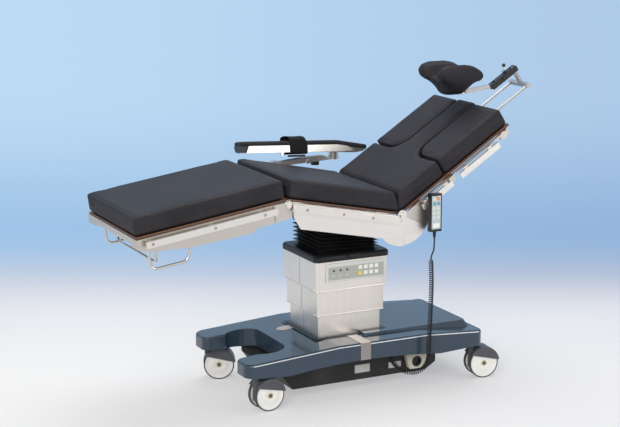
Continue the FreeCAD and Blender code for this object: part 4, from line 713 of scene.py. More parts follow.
@dataclass
class Cushion:
    """An upholstered pad on a section, swollen by air pressure inside its cover."""

    name: str
    node: str
    body: str
    section: Section
    outline: Sequence[tuple[float, float]]
    top: float = 0.079
    slants: tuple[float, float] = (0.0, 0.0)
    inset: float = 0.002
    edge: float = 0.007
    swell: float = 0.005
    voxel: float = 0.005
    slack: float = 0.0005
    pressure: float = 4.0
    stiffness: float = 22.0
    frames: int = 20

    def block(self) -> Shape:
        """Builds the pad's plain form from its plan, with its ends slanted."""
        count = len(self.outline)
        xs = [p[0] for p in self.outline]
        low, high = min(xs), max(xs)
        vertices = []
        for z, share in ((0.0, 0.0), (self.top - self.inset * 0.6, 1.0)):
            for x, y in self.outline:
                if abs(x - low) < 0.012:
                    x += self.slants[0] * share
                if abs(x - high) < 0.012:
                    x -= self.slants[1] * share
                vertices.append((x, y, z))
        faces = [tuple(reversed(range(count))), tuple(range(count, 2 * count))]
        faces += [(i, (i + 1) % count, count + (i + 1) % count, count + i) for i in range(count)]
        return Shape.mesh(self.name, vertices, faces)

    def shrink(self, shape: Shape) -> None:
        """Draws the sides in, so that the pad can swell back to its size."""
        mesh = shape.obj.data
        for vertex in mesh.vertices:
            push = vertex.normal.copy()
            push.z = 0.0
            if push.length > 1e-6:
                vertex.co -= push.normalized() * self.inset * 1.3

    def inflate(self, shape: Shape) -> None:
        """Runs the cover as cloth under pressure and keeps its outward swelling, up to a cap."""
        obj = shape.obj
        start = np.array([v.co[:] for v in obj.data.vertices])
        modifier = obj.modifiers.new("Cover", "CLOTH")
        cloth = modifier.settings
        cloth.use_pressure = True
        cloth.uniform_pressure_force = self.pressure
        cloth.effector_weights.gravity = 0.0
        cloth.quality = 4
        cloth.tension_stiffness = self.stiffness
        cloth.compression_stiffness = self.stiffness
        modifier.collision_settings.use_collision = False
        modifier.point_cache.frame_start = 1
        modifier.point_cache.frame_end = self.frames
        scene = bpy.context.scene
        for frame in range(1, self.frames + 1):
            scene.frame_set(frame)
        shown = obj.evaluated_get(bpy.context.evaluated_depsgraph_get())
        end = np.array([v.co[:] for v in shown.data.vertices])
        obj.modifiers.remove(modifier)
        scene.frame_set(1)
        outward = np.array([v.normal[:] for v in obj.data.vertices])
        swell = np.clip(np.sum((end - start) * outward, axis=1, keepdims=True), 0.0, self.swell)
        obj.data.vertices.foreach_set("co", (start + swell * outward).ravel())
        obj.data.update()

    def puff(self, shape: Shape) -> None:
        """Swells the pad by the cloth simulation."""
        self.inflate(shape)

    def settle(self, shape: Shape) -> None:
        """Keeps the pad's underside flat on its board and its top within its height."""
        for vertex in shape.obj.data.vertices:
            vertex.co.z = min(max(vertex.co.z, 0.0003), self.top + 0.002)

    def fit(self, shape: Shape) -> None:
        """Stretches the swollen pad to the outer size of the CAD cushion, less a little slack."""
        back = self.section.matrix().inverted()
        spots = np.array([(back @ v.co)[:] for v in NODES[self.node].data.vertices])
        mesh = shape.obj.data
        points = np.array([v.co[:] for v in mesh.vertices])
        low, high = spots.min(axis=0) + self.slack, spots.max(axis=0) - self.slack
        start, end = points.min(axis=0), points.max(axis=0)
        points = low + (points - start) * (high - low) / (end - start)
        mesh.vertices.foreach_set("co", points.ravel())
        mesh.update()

    def build(self) -> bpy.types.Object:
        """Builds, swells and places the pad."""
        shape = self.block()
        self.shrink(shape)
        shape.modify("BEVEL", width=self.edge, segments=3, limit_method="ANGLE", angle_limit=0.6)
        shape.modify("REMESH", mode="VOXEL", voxel_size=self.voxel)
        self.puff(shape)
        shape.modify("SMOOTH", factor=0.5, iterations=2)
        self.fit(shape)
        self.settle(shape)
        shape.modify("SUBSURF", levels=1, render_levels=1)
        shape.place(self.section).paint(VINYL.make(self.section))
        shape.smooth(60)
        obj = shape.ride(self.body, VINYL.slot, self.node)
        return obj


def slant(height: float, wedge: float = 26.0) -> float:
    """Gives how far a cushion's end leans back between its underside and a height."""
    return height * math.tan(math.radians(wedge))


@dataclass
class TableTop:
    """The four sections' cushions."""

    half: float = 0.261
    seat_length: float = 0.503
    leg_length: float = 0.619
    back_length: float = 0.597
    height: float = 0.079
    tongue: float = 0.066
    split: float = 0.248
    corner: float = 0.075
    gap: float = 0.0016

    def rectangle(self, low: float, high: float) -> list[tuple[float, float]]:
        """Gives a plain plan between two ends."""
        half = self.half
        return [(low, -half), (high, -half), (high, half), (low, half)]

    def inner_corner(self, side: int, grow: float) -> list[tuple[float, float]]:
        """Gives the rounded corner between the tongue and a shoulder cushion."""
        radius = self.corner - grow
        centre = (self.split + grow + radius, side * (self.tongue + grow + radius))
        points = []
        for step in range(9):
            angle = math.pi / 2 * step / 8
            points.append((centre[0] - radius * math.sin(angle),
                           centre[1] - side * radius * math.cos(angle)))
        return points

    def tongue_plan(self) -> list[tuple[float, float]]:
        """Gives the back cushion's plan: its full-width foot and the tongue up the middle."""
        start = 0.0035 + self.gap
        near = self.inner_corner(-1, -self.gap / 2)
        far = self.inner_corner(1, -self.gap / 2)
        edge = self.split - self.gap / 2
        plan = [(start, -self.half), (edge, -self.half)]
        plan += list(reversed(near)) + [(self.back_length, -self.tongue - self.gap / 2)]
        plan += [(self.back_length, self.tongue + self.gap / 2)] + far
        plan += [(edge, self.half), (start, self.half)]
        return plan

    def shoulder_plan(self, side: int) -> list[tuple[float, float]]:
        """Gives a shoulder cushion's plan."""
        inner = self.inner_corner(side, self.gap / 2)
        plan = [(self.back_length, side * self.half),
                (self.back_length, side * (self.tongue + self.gap / 2))]
        plan += inner + [(self.split + self.gap / 2, side * self.half)]
        return plan if side > 0 else list(reversed(plan))

    def build(self) -> None:
        """Builds the cushions of the leg, seat and back sections."""
        lean = slant(self.height)
        end = self.seat_length - self.gap - 0.0029
        Cushion("leg_pad", "leg_cushion", "leg", LEG,
                self.rectangle(-self.leg_length, -self.gap)).build()
        Cushion("seat_pad", "seat_cushion", "seat", SEAT,
                self.rectangle(self.gap, end), slants=(0.0, lean)).build()
        Cushion("back_pad", "back_cushion", "back", BACK, self.tongue_plan(),
                slants=(lean, 0.0)).build()
        for side, word in ((-1, "near"), (1, "far")):
            Cushion("shoulder_pad_" + word, "shoulder_cushion_" + word, "back", BACK,
                    self.shoulder_plan(side)).build()


@dataclass
class Headrest:
    """Winged head pad and the bright arm that carries it."""

    centre: float = -0.075
    half: float = 0.100
    base: float = -0.002

    def wings(self) -> Shape:
        """Builds the pad's form where the front outline meets the side outline."""
        half = [(0.032, 0.003), (0.056, 0.024), (0.086, 0.056), (0.102, 0.082), (0.099, 0.107),
                (0.083, 0.124), (0.064, 0.114), (0.034, 0.068)]
        front = [(0.0, 0.0)] + half + [(0.0, 0.052)] + [(-y, z) for y, z in reversed(half)]
        side = [(0.38, 0.0), (0.54, 0.030), (0.68, 0.051), (0.98, 0.061), (1.01, 0.074),
                (0.88, 0.095),
                (0.55, 0.114), (0.10, 0.125), (-0.58, 0.125), (-0.90, 0.112), (-1.01, 0.091),
                (-0.95, 0.069), (-0.62, 0.049), (-0.46, 0.029), (-0.38, 0.0)]
        first = self._prism("head_pad_form", [(self.base + z, y) for y, z in front], True)
        second = self._prism("head_pad_side", [(self.base + z, self.half * u) for u, z in side],
                             False)
        first.modify("BOOLEAN", operation="INTERSECT", object=second.obj, solver="EXACT")
        bpy.data.objects.remove(second.obj)
        return first

    def _prism(self, name: str, ring: Sequence[tuple[float, float]], across: bool) -> Shape:
        """Builds a prism along X or across it from an outline of height and reach."""
        count = len(ring)
        reach = 0.14
        vertices = []
        for end in (-reach, reach):
            for z, u in ring:
                vertices.append((end, u, z) if across else (u, end, z))
        faces = [tuple(range(count)), tuple(range(count, 2 * count))]
        faces += [(i, (i + 1) % count, count + (i + 1) % count, count + i) for i in range(count)]
        return Shape.mesh(name, vertices, faces)

    def build(self) -> None:
        """Builds the pad and its carrier."""
        shape = self.wings()
        shape.obj.data.transform(Matrix.Translation((self.centre, 0.0, 0.0)))
        shape.modify("REMESH", mode="VOXEL", voxel_size=0.005)
        shape.modify("SMOOTH", factor=0.6, iterations=14)
        pad = Cushion("head_pad_cover", "head_pad", "headrest", PAD, [], swell=0.005)
        pad.puff(shape)
        shape.modify("SMOOTH", factor=0.5, iterations=4)
        pad.fit(shape)
        shape.modify("SUBSURF", levels=1, render_levels=1)
        shape.obj.name = "head_pad_cover"
        shape.place(PAD).paint(VINYL.make(PAD))
        shape.smooth(70)
        obj = shape.ride("headrest", VINYL.slot, "head_pad")
        plate = Shape.block("head_pad_plate", (-0.098, -0.028, -0.0058), (-0.040, 0.028, -0.0022))
        plate.soften(0.0015)
        arm = Shape.block("head_pad_arm", (-0.045, -0.0048, -0.0075), (-0.002, 0.0048, 0.0045))
        eye = Shape.drum("head_pad_eye", (0, -0.0048, 0), (0, 0.0048, 0), 0.008)
        plate.join([arm.soften(0.001), eye.soften(0.0008)])
        plate.place(PAD).paint(BRIGHT.make(PAD)).smooth().ride("headrest", "steel")


@dataclass
class ArmBoard:
    """Arm pad, and the strap that is looped round its board, with its buckle."""

    length: float = 0.454
    half: float = 0.046
    tail: float = 0.140
    tail_half: float = 0.030
    drop: float = 0.022
    thick: float = 0.020
    strap: tuple[float, float] = (-0.236, -0.150)

    def bend(self, x: float) -> float:
        """Gives the share of the head end's bend at a place along the board."""
        start = 0.010
        return max(0.0, (x + start) / (self.tail + start))

    def pad(self) -> None:
        """Builds the long pad, whose head end tapers and bends down."""
        shape = Shape.block("arm_board_pad", (-self.length + 0.002, -self.half + 0.002, 0.0),
                            (self.tail - 0.002, self.half - 0.002, self.thick - 0.001))
        shape.edit(lambda face: True, bpy.ops.mesh.subdivide, number_cuts=30)
        for vertex in shape.obj.data.vertices:
            share = self.bend(vertex.co.x)
            vertex.co.z -= self.drop * share
            vertex.co.y *= 1.0 + (self.tail_half / self.half - 1.0) * share
            end = max(0.0, -vertex.co.x - self.length + 0.024) / 0.024
            vertex.co.y *= 1.0 - 0.32 * end * end
        shape.modify("REMESH", mode="VOXEL", voxel_size=0.004)
        shape.modify("SMOOTH", factor=0.6, iterations=6)
        pad = Cushion("arm_board_pad", "arm_pad", "arm_board", ARM, [], swell=0.0022)
        pad.puff(shape)
        shape.modify("SMOOTH", factor=0.5, iterations=2)
        pad.fit(shape)
        for vertex in shape.obj.data.vertices:
            share = self.bend(vertex.co.x)
            vertex.co.z = max(vertex.co.z, 0.0003 - self.drop * share)
        shape.place(ARM).paint(VINYL.make(ARM)).smooth(60)
        obj = shape.ride("arm_board", VINYL.slot, "arm_pad")

    def loop(self) -> None:
        """Builds the strap as one closed band that stands up in an arch over the pad."""
        low = -0.038
        ring = []
        for step in range(25):
            angle = math.pi * step / 24
            ring.append((-0.0475 * math.cos(angle), 0.021 + 0.0175 * math.sin(angle) ** 0.8))
        ring += [(0.0478, z) for z in (0.012, 0.0, -0.012, -0.024)]
        ring += [(0.046, low + 0.004), (0.041, low)] + [(y, low) for y in (0.02, 0.0, -0.02)]
        ring += [(-0.041, low), (-0.046, low + 0.004)]
        ring += [(-0.0478, z) for z in (-0.024, -0.012, 0.0, 0.012)]
        count = len(ring)
        rows = 7
        start, end = self.strap
        vertices = []
        for row in range(rows):
            share = row / (rows - 1)
            x = start + 0.001 + (end - start - 0.002) * share
            curl = 0.002 * (2 * share - 1) ** 2
            for y, z in ring:
                lean = 0.010 * max(0.0, z) / 0.04
                vertices.append((x - lean * (0.4 + share), y, z + (curl if z > 0.03 else 0.0)))
        faces = []
        for row in range(rows - 1):
            for i in range(count):
                j = (i + 1) % count
                faces.append((row * count + i, row * count + j, (row + 1) * count + j,
                              (row + 1) * count + i))
        shape = Shape.mesh("arm_strap_band", vertices, faces)
        shape.modify("SOLIDIFY", thickness=0.0022, offset=-1.0)
        shape.modify("SUBSURF", levels=1, render_levels=1)
        shape.place(ARM).paint(WEBBING.make(ARM)).smooth(60)
        band = shape.ride("arm_board", WEBBING.slot, "arm_strap")
        buckle = Shape.block("arm_strap_buckle", (start + 0.008, -0.037, -0.0495),
                             (end - 0.008, -0.007, -0.0405))
        buckle.edit(facing(z=-1), bpy.ops.mesh.inset, thickness=0.006, depth=-0.003)
        buckle.soften(0.002)
        buckle.place(ARM).paint(BLACK.make(ARM)).smooth().ride("arm_board", "strap")

    def build(self) -> None:
        """Builds the arm board's soft pieces."""
        self.pad()
        self.loop()


@dataclass
class Castors:
    """Wheels of the four twin castors."""

    places: dict[str, tuple[float, float, float]] = field(default_factory=lambda: {
        "foot_near": (-0.465, -0.238, 5.4), "foot_far": (-0.465, 0.238, -21.6),
        "head_near": (0.510, -0.238, -6.6), "head_far": (0.510, 0.238, 14.0)})
    trail: float = 0.045
    radius: float = 0.0625
    half: float = 0.009
    plane: float = 0.025

    def wheel(self) -> tuple[Shape, Shape, Shape]:
        """Models one wheel about its axle: tyre, dished disc and hub cap, outer side to -Y."""
        tyre = Shape.drum("tyre", (0, -self.half, 0), (0, self.half, 0), self.radius, 72)
        tyre.edit(lambda face: abs(face.normal.y) > 0.95, bpy.ops.mesh.inset, thickness=0.0050,
                  depth=-0.0065)
        tyre.soften(0.0018, 3)
        reach = self.half - 0.0006
        disc = Shape.drum("disc", (0, -reach, 0), (0, reach, 0), 0.0576, 72)
        for thickness, depth in ((0.0040, 0.0), (0.0018, -0.0010), (0.0170, 0.0), (0.0015, 0.0007),
                                 (0.0125, 0.0), (0.0015, -0.0009)):
            disc.edit(lambda face: abs(face.normal.y) > 0.95 and len(face.vertices) > 8,
                      bpy.ops.mesh.inset,
                      thickness=thickness, depth=depth)
        disc.soften(0.0005, 2)
        cap = Shape.drum("cap", (0, -self.half - 0.0012, 0), (0, -self.half + 0.004, 0), 0.0105, 32)
        cap.edit(facing(y=-1), bpy.ops.mesh.inset, thickness=0.003, depth=-0.0012)
        cap.soften(0.0008, 2)
        return tyre, disc, cap

    def build(self) -> None:
        """Copies the wheel to both sides of each castor."""
        parts = self.wheel()
        finishes = (TYRE.make(), DISC.make(), HUB.make())
        for name, (x, y, yaw) in self.places.items():
            base = Matrix.Translation((x, y, 0.0)) @ Matrix.Rotation(math.radians(yaw), 4, "Z")
            for side, word in ((-1, "outer"), (1, "inner")):
                sign = side if name.endswith("near") else -side
                node = "wheel_%s_%s" % (name, word)
                turn = Matrix.Identity(4) if sign < 0 else Matrix.Rotation(math.pi, 4, "Z")
                hub = Matrix.Translation((self.trail, sign * self.plane, self.radius))
                move = base @ hub @ turn
                copies = []
                for part, finish in zip(parts, finishes):
                    twin = part.copy("%s_%s" % (node, part.obj.name), move)
                    copies.append(twin.paint(finish))
                Shape.group(node + "_dressed", copies).smooth().ride(node, "wheel", node)
        for part in parts:
            bpy.data.objects.remove(part.obj)


@dataclass
class Bellows:
    """Pleated rubber bellows between the column's cap and the seat frame, in two lengths."""

    half_x: float = 0.133
    half_y: float = 0.124
    pleat: float = 0.017
    corner: float = 0.014
    low: float = 0.5612
    middle: float = 0.630
    top: float = 0.6966
    slope: float = 0.2042
    pleats: int = 5

    def length(self, name: str, low: float, high: float, slopes: tuple[float, float]) -> Shape:
        """Builds one length by drawing a ring upwards, in and out.

        Args:
            name: The piece's name.
            low: Its lower end under the column's axis.
            high: Its upper end.
            slopes: How steeply its lower and upper ends fall towards the head end.

        Returns:
            The shape.
        """
        shape = Shape.block(name, (-self.half_x, -self.half_y, low),
                            (self.half_x, self.half_y, low + 0.0005))
        steps = 4 * self.pleats
        rise = (high - low) / steps
        for step in range(1, steps + 1):
            fold = self.pleat * (0.5 - 0.5 * math.cos(2 * math.pi * step / 4))
            before = self.pleat * (0.5 - 0.5 * math.cos(2 * math.pi * (step - 1) / 4))
            ratio_x = (self.half_x - fold) / (self.half_x - before)
            ratio_y = (self.half_y - fold) / (self.half_y - before)
            shape.edit(facing(z=1), bpy.ops.mesh.extrude_region_move,
                       TRANSFORM_OT_translate={"value": (0, 0, rise)})
            shape.edit(facing(z=1), bpy.ops.transform.resize, value=(ratio_x, ratio_y, 1.0),
                       center_override=(0, 0, low + rise * step))
        shape.modify("BEVEL", width=self.corner, segments=3, limit_method="ANGLE", angle_limit=1.3)
        for vertex in shape.obj.data.vertices:
            share = (vertex.co.z - low) / (high - low)
            vertex.co.z -= vertex.co.x * (slopes[0] + (slopes[1] - slopes[0]) * share)
        shape.edit(lambda face: abs(face.normal.z) > 0.9 and face.area > 0.02, bpy.ops.mesh.delete,
                   type="FACE")
        shape.paint(RUBBER.make()).smooth(50)
        return shape

    def build(self) -> None:
        """Builds both lengths and bakes each in place, hiding its CAD node."""
        lower = self.length("bellows_lower_dressed", self.low, self.middle, (0.0, self.slope / 2))
        upper = self.length("bellows_upper_dressed", self.middle, self.top,
                            (self.slope / 2, self.slope))
        for shape, node, bodies, ends in (
                (lower, "bellows_lower", ("lift_head", "cradle"), (self.low, self.middle)),
                (upper, "bellows_upper", ("cradle", "seat"), (self.middle, self.top))):
            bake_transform(shape.obj)
            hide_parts(node)
            LOG.info("piece %s bends between %s and %s", shape.obj.name, *bodies)


@dataclass
class ControlPanel:
    """Silver control panel on the column, with its membrane and keys."""

    low: tuple[float, float] = (-0.120, 0.450)
    high: tuple[float, float] = (0.144, 0.526)
    face: float = -0.150
    thick: float = 0.004

    def build(self) -> None:
        """Builds the plate, the membrane, the keys and the end screws."""
        front = self.face - self.thick
        plate = Shape.block("panel_plate", (self.low[0], front, self.low[1]),
                            (self.high[0], self.face, self.high[1]))
        plate.edit(facing(y=-1), bpy.ops.mesh.inset, thickness=0.003, depth=0.0006)
        plate.soften(0.0008)
        plate.paint(PLATE.make()).smooth().ride("lift_head", "panel", "control_panel")
        skin = Shape.block("panel_membrane",
                           (self.low[0] + 0.011, front - 0.0008, self.low[1] + 0.009),
                           (self.high[0] - 0.004, front - 0.0002, self.high[1] - 0.014))
        skin.edit(facing(y=-1), bpy.ops.mesh.inset, thickness=0.002, depth=0.0002)
        skin.soften(0.0003, 2)
        skin.paint(SCREEN.make()).smooth().ride("lift_head", "panel")
        for tone, spots in self.keys().items():
            shapes = []
            for x, z, wide, high in spots:
                key = Shape.block("panel_key", (x, front - 0.0018, z),
                                  (x + wide, front - 0.0009, z + high))
                key.edit(facing(y=-1), bpy.ops.mesh.inset, thickness=0.0012, depth=-0.0004)
                shapes.append(key.soften(0.0004, 2))
            finish = Moulding("panel_key_" + tone.name.lower(), tone.value, 0.38, "panel")
            keys = Shape.group("panel_keys_" + tone.name.lower(), shapes)
            keys.paint(finish.make()).smooth().ride("lift_head", "panel")
        dots = []
        for x in (self.low[0] + 0.005, self.high[0] - 0.006):
            for z in (self.low[1] + 0.006, self.high[1] - 0.006):
                dot = Shape.drum("panel_screw", (x, front - 0.0012, z), (x, front, z), 0.0026, 16)
                dots.append(dot.soften(0.0004, 2))
        Shape.group("panel_screws", dots).paint(BRIGHT.make()).smooth().ride("lift_head", "steel")

    def keys(self) -> dict[KeyTone, list[tuple[float, float, float, float]]]:
        """Lists the keys and signs by colour, each with its corner and size."""
        groups: dict[KeyTone, list[tuple[float, float, float, float]]] = {tone: [] for tone in
            (KeyTone.GREEN, KeyTone.YELLOW, KeyTone.DARK, KeyTone.WHITE)}
        for column in range(4):
            for row in range(2):
                x = self.low[0] + 0.146 + column * 0.0245
                z = self.low[1] + 0.019 + row * 0.024
                tone = KeyTone.YELLOW if (column, row) == (0, 0) else KeyTone.WHITE
                groups[tone].append((x, z, 0.016, 0.015))
        for column in range(3):
            x = self.low[0] + 0.030 + column * 0.030
            groups[KeyTone.DARK].append((x, self.low[1] + 0.043, 0.010, 0.008))
            groups[KeyTone.GREEN].append((x - 0.002, self.low[1] + 0.022, 0.014, 0.009))
        return groups


@dataclass
class Handset:
    """Wired handset that hangs on the back's rail, with its keys and cord relief."""

    half: float = 0.0255
    back: float = -0.297
    thick: float = 0.024
    high: float = 0.009
    low: float = -0.143

    def build(self) -> None:
        """Builds the shell with its hook, the membrane and the keys."""
        front = self.back - self.thick
        shell = Shape.block("handset_shell", (-self.half, front, self.low),
                            (self.half, self.back, self.high))
        shell.edit(facing(y=-1), bpy.ops.mesh.inset, thickness=0.003, depth=0.0)
        shell.edit(lambda face: face.normal.y < -0.95 and face.area > 0.004, bpy.ops.mesh.inset,
                   thickness=0.001, depth=-0.0008)
        shell.soften(0.0035, 4)
        hook = Shape.drum("handset_hook", (0, self.back + 0.0005, 0), (0, -0.2815, 0), 0.003, 24)
        hook.soften(0.0008, 2)
        leg = Shape.block("handset_leg", (-0.006, -0.284, -0.020), (0.006, -0.281, 0.003))
        leg.soften(0.001)
        shell.join([leg])
        shell.place(HOOK).paint(SHELL.make(HOOK)).smooth(45)
        shell.ride("handset", "handset", "handset_body")
        hook.place(HOOK).paint(BRIGHT.make(HOOK)).smooth().ride("handset", "steel")
        relief = Shape.drum("handset_relief", (0, self.back - 0.012, self.low + 0.001),
                            (0, self.back - 0.012, self.low - 0.0265), 0.0075, 28)
        relief.edit(lambda face: face.normal.z < -0.9, bpy.ops.transform.resize,
                    value=(0.62, 0.62, 1.0),
                    center_override=(0, self.back - 0.012, self.low - 0.0265))
        relief.edit(lambda face: abs(face.normal.z) < 0.5, bpy.ops.mesh.subdivide, number_cuts=6)
        relief.soften(0.0006, 2)
        relief.place(HOOK).paint(CORD.make(HOOK)).smooth(50).ride("handset", "cord")
        skin = Shape.block("handset_membrane",
                           (-self.half + 0.0052, front - 0.0006, self.low + 0.010),
                           (self.half - 0.0052, front + 0.0004, self.high - 0.008))
        skin.soften(0.0004, 2)
        skin.place(HOOK).paint(SKIN.make(HOOK)).smooth().ride("handset", "handset")
        for tone, spots in self.keys().items():
            shapes = []
            for x, z, wide, tall in spots:
                key = Shape.block("handset_key", (x, front - 0.0017, z),
                                  (x + wide, front - 0.0005, z + tall))
                key.edit(facing(y=-1), bpy.ops.mesh.inset, thickness=0.001, depth=-0.0004)
                shapes.append(key.soften(0.0005, 2))
            keys = Shape.group("handset_keys_" + tone.name.lower(), shapes)
            finish = Moulding("handset_key_" + tone.name.lower(), tone.value, 0.40, "handset")
            keys.place(HOOK).paint(finish.make(HOOK)).smooth().ride("handset", "handset")

    def keys(self) -> dict[KeyTone, list[tuple[float, float, float, float]]]:
        """Lists the keys by colour, each with its corner and size."""
        groups: dict[KeyTone, list[tuple[float, float, float, float]]] = {tone: [] for tone in
            (KeyTone.PALE, KeyTone.ORANGE, KeyTone.TEAL, KeyTone.WHITE, KeyTone.DARK)}
        for row in range(5):
            z = self.high - 0.027 - row * 0.0185
            for column in (0, 1):
                x = -0.0158 if column == 0 else 0.0028
                tone = KeyTone.PALE
                if row == 0 and column == 1:
                    tone = KeyTone.ORANGE
                if row == 1:
                    tone = KeyTone.TEAL
                groups[tone].append((x, z, 0.013, 0.0125))
        groups[KeyTone.WHITE].append((-0.0150, self.low + 0.0165, 0.030, 0.018))
        groups[KeyTone.DARK].append((-0.003, self.high - 0.0135, 0.006, 0.003))
        return groups


@dataclass
class HandsetCord:
    """The handset's lead and coiled cord, in several lengths."""

    wire: float = 0.0052
    coil: float = 0.0205
    pitch: float = 0.0086
    lead_points: Sequence[Point] = ((0.2830, -0.3090, 0.6270), (0.2824, -0.3100, 0.6020),
                                    (0.2796, -0.3110, 0.5770), (0.2715, -0.3118, 0.5600),
                                    (0.2670, -0.3120, 0.5430))
    coil_points: Sequence[Point] = ((0.2668, -0.3120, 0.5420), (0.2710, -0.3120, 0.4400),
                                    (0.2680, -0.3120, 0.3100), (0.2640, -0.3120, 0.1900),
                                    (0.2590, -0.3115, 0.1230), (0.2250, -0.3090, 0.0850),
                                    (0.1710, -0.2960, 0.0840), (0.1370, -0.2660, 0.1080),
                                    (0.1250, -0.2430, 0.1390))

    def line(self, points: Sequence[Point], step: float) -> list[Vector]:
        """Gives evenly spaced points on one smooth curve through a route's points."""
        spots = [Vector(p) for p in points]
        spots = [spots[0] * 2 - spots[1]] + spots + [spots[-1] * 2 - spots[-2]]
        fine = []
        for i in range(1, len(spots) - 2):
            a, b, c, d = spots[i - 1:i + 3]
            for k in range(60):
                t = k / 60
                fine.append(0.5 * (2 * b + (c - a) * t + (2 * a - 5 * b + 4 * c - d) * t * t
                                   + (3 * b - a - 3 * c + d) * t ** 3))
        fine.append(spots[-2])
        run = [0.0]
        for p, q in zip(fine, fine[1:]):
            run.append(run[-1] + (q - p).length)
        count = max(2, round(run[-1] / step))
        even = []
        j = 0
        for k in range(count + 1):
            goal = run[-1] * k / count
            while j < len(run) - 2 and run[j + 1] < goal:
                j += 1
            share = (goal - run[j]) / max(run[j + 1] - run[j], 1e-9)
            even.append(fine[j].lerp(fine[j + 1], min(1.0, share)))
        return even

    def helix(self, axis: list[Vector], per_turn: int) -> list[Vector]:
        """Winds a helix round an axis, tapering onto it at both ends of the coil."""
        points = []
        side = Vector((0.0, -1.0, 0.0))
        count = len(axis)
        for i, spot in enumerate(axis):
            ahead = (axis[min(i + 1, count - 1)] - axis[max(i - 1, 0)]).normalized()
            side = (side - ahead * side.dot(ahead)).normalized()
            other = ahead.cross(side)
            angle = 2 * math.pi * i / per_turn
            taper = min(1.0, i / per_turn, (count - 1 - i) / per_turn)
            radius = (self.coil - self.wire) / 2 * taper
            points.append(spot + side * math.cos(angle) * radius + other * math.sin(angle) * radius)
        return points

    def tube(self, name: str, points: list[Vector], thickness: float,
             sides: int) -> bpy.types.Object:
        """Makes a closed round tube along points."""
        curve = bpy.data.curves.new(name, "CURVE")
        curve.dimensions = "3D"
        spline = curve.splines.new("POLY")
        spline.points.add(len(points) - 1)
        for target, point in zip(spline.points, points):
            target.co = (*point, 1.0)
        curve.bevel_depth = thickness / 2
        curve.bevel_resolution = sides
        curve.use_fill_caps = True
        obj = bpy.data.objects.new(name, curve)
        bpy.context.collection.objects.link(obj)
        Shape.take(obj)
        bpy.ops.object.convert(target="MESH")
        obj = bpy.context.object
        bpy.ops.object.shade_smooth()
        return obj

    def lay(self, name: str, points: list[Vector], thickness: float,
            nodes: tuple[str, ...], sides: int) -> None:
        obj = self.tube(name, points, thickness, sides)
        obj.data.materials.append(CORD.make())
        length = sum((b - a).length for a, b in zip(points, points[1:]))
        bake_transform(obj)
        if nodes:
            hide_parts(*nodes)
        LOG.info("cord %s is %.3f m long", name, length)

    def build(self) -> None:
        """Builds the lead in two lengths and the coil in three."""
        lead = self.line(self.lead_points, 0.002)
        cut = next(i for i, p in enumerate(lead) if p.z < 0.5865)
        self.lay("lead_upper", lead[:cut + 1], 0.006,
                 ("cord_lead",), 3)
        self.lay("lead_lower", lead[cut:], 0.006, (),
                 3)
        per_turn = 14
        step = self.pitch / per_turn
        axis = self.line(self.coil_points, step)
        wound = self.helix(axis, per_turn)
        first = next(i for i, p in enumerate(axis) if p.z < 0.420)
        second = next(i for i, p in enumerate(axis) if p.z < 0.300)
        runs = ((0, first, ("seat", "cradle"), "coil_upper"),
                (first, second, ("cradle", "lift_head"), "coil_middle"),
                (second, len(axis) - 1, ("lift_head", "base"), "coil_lower"))
        for start, end, bodies, name in runs:
            low = axis[end] if name != "coil_lower" else Vector((0.26, -0.31, 0.125))
            nodes = ("cord_curly",) if name == "coil_upper" else ()
            self.lay(name, wound[start:end + 1], self.wire, nodes,
                     2)


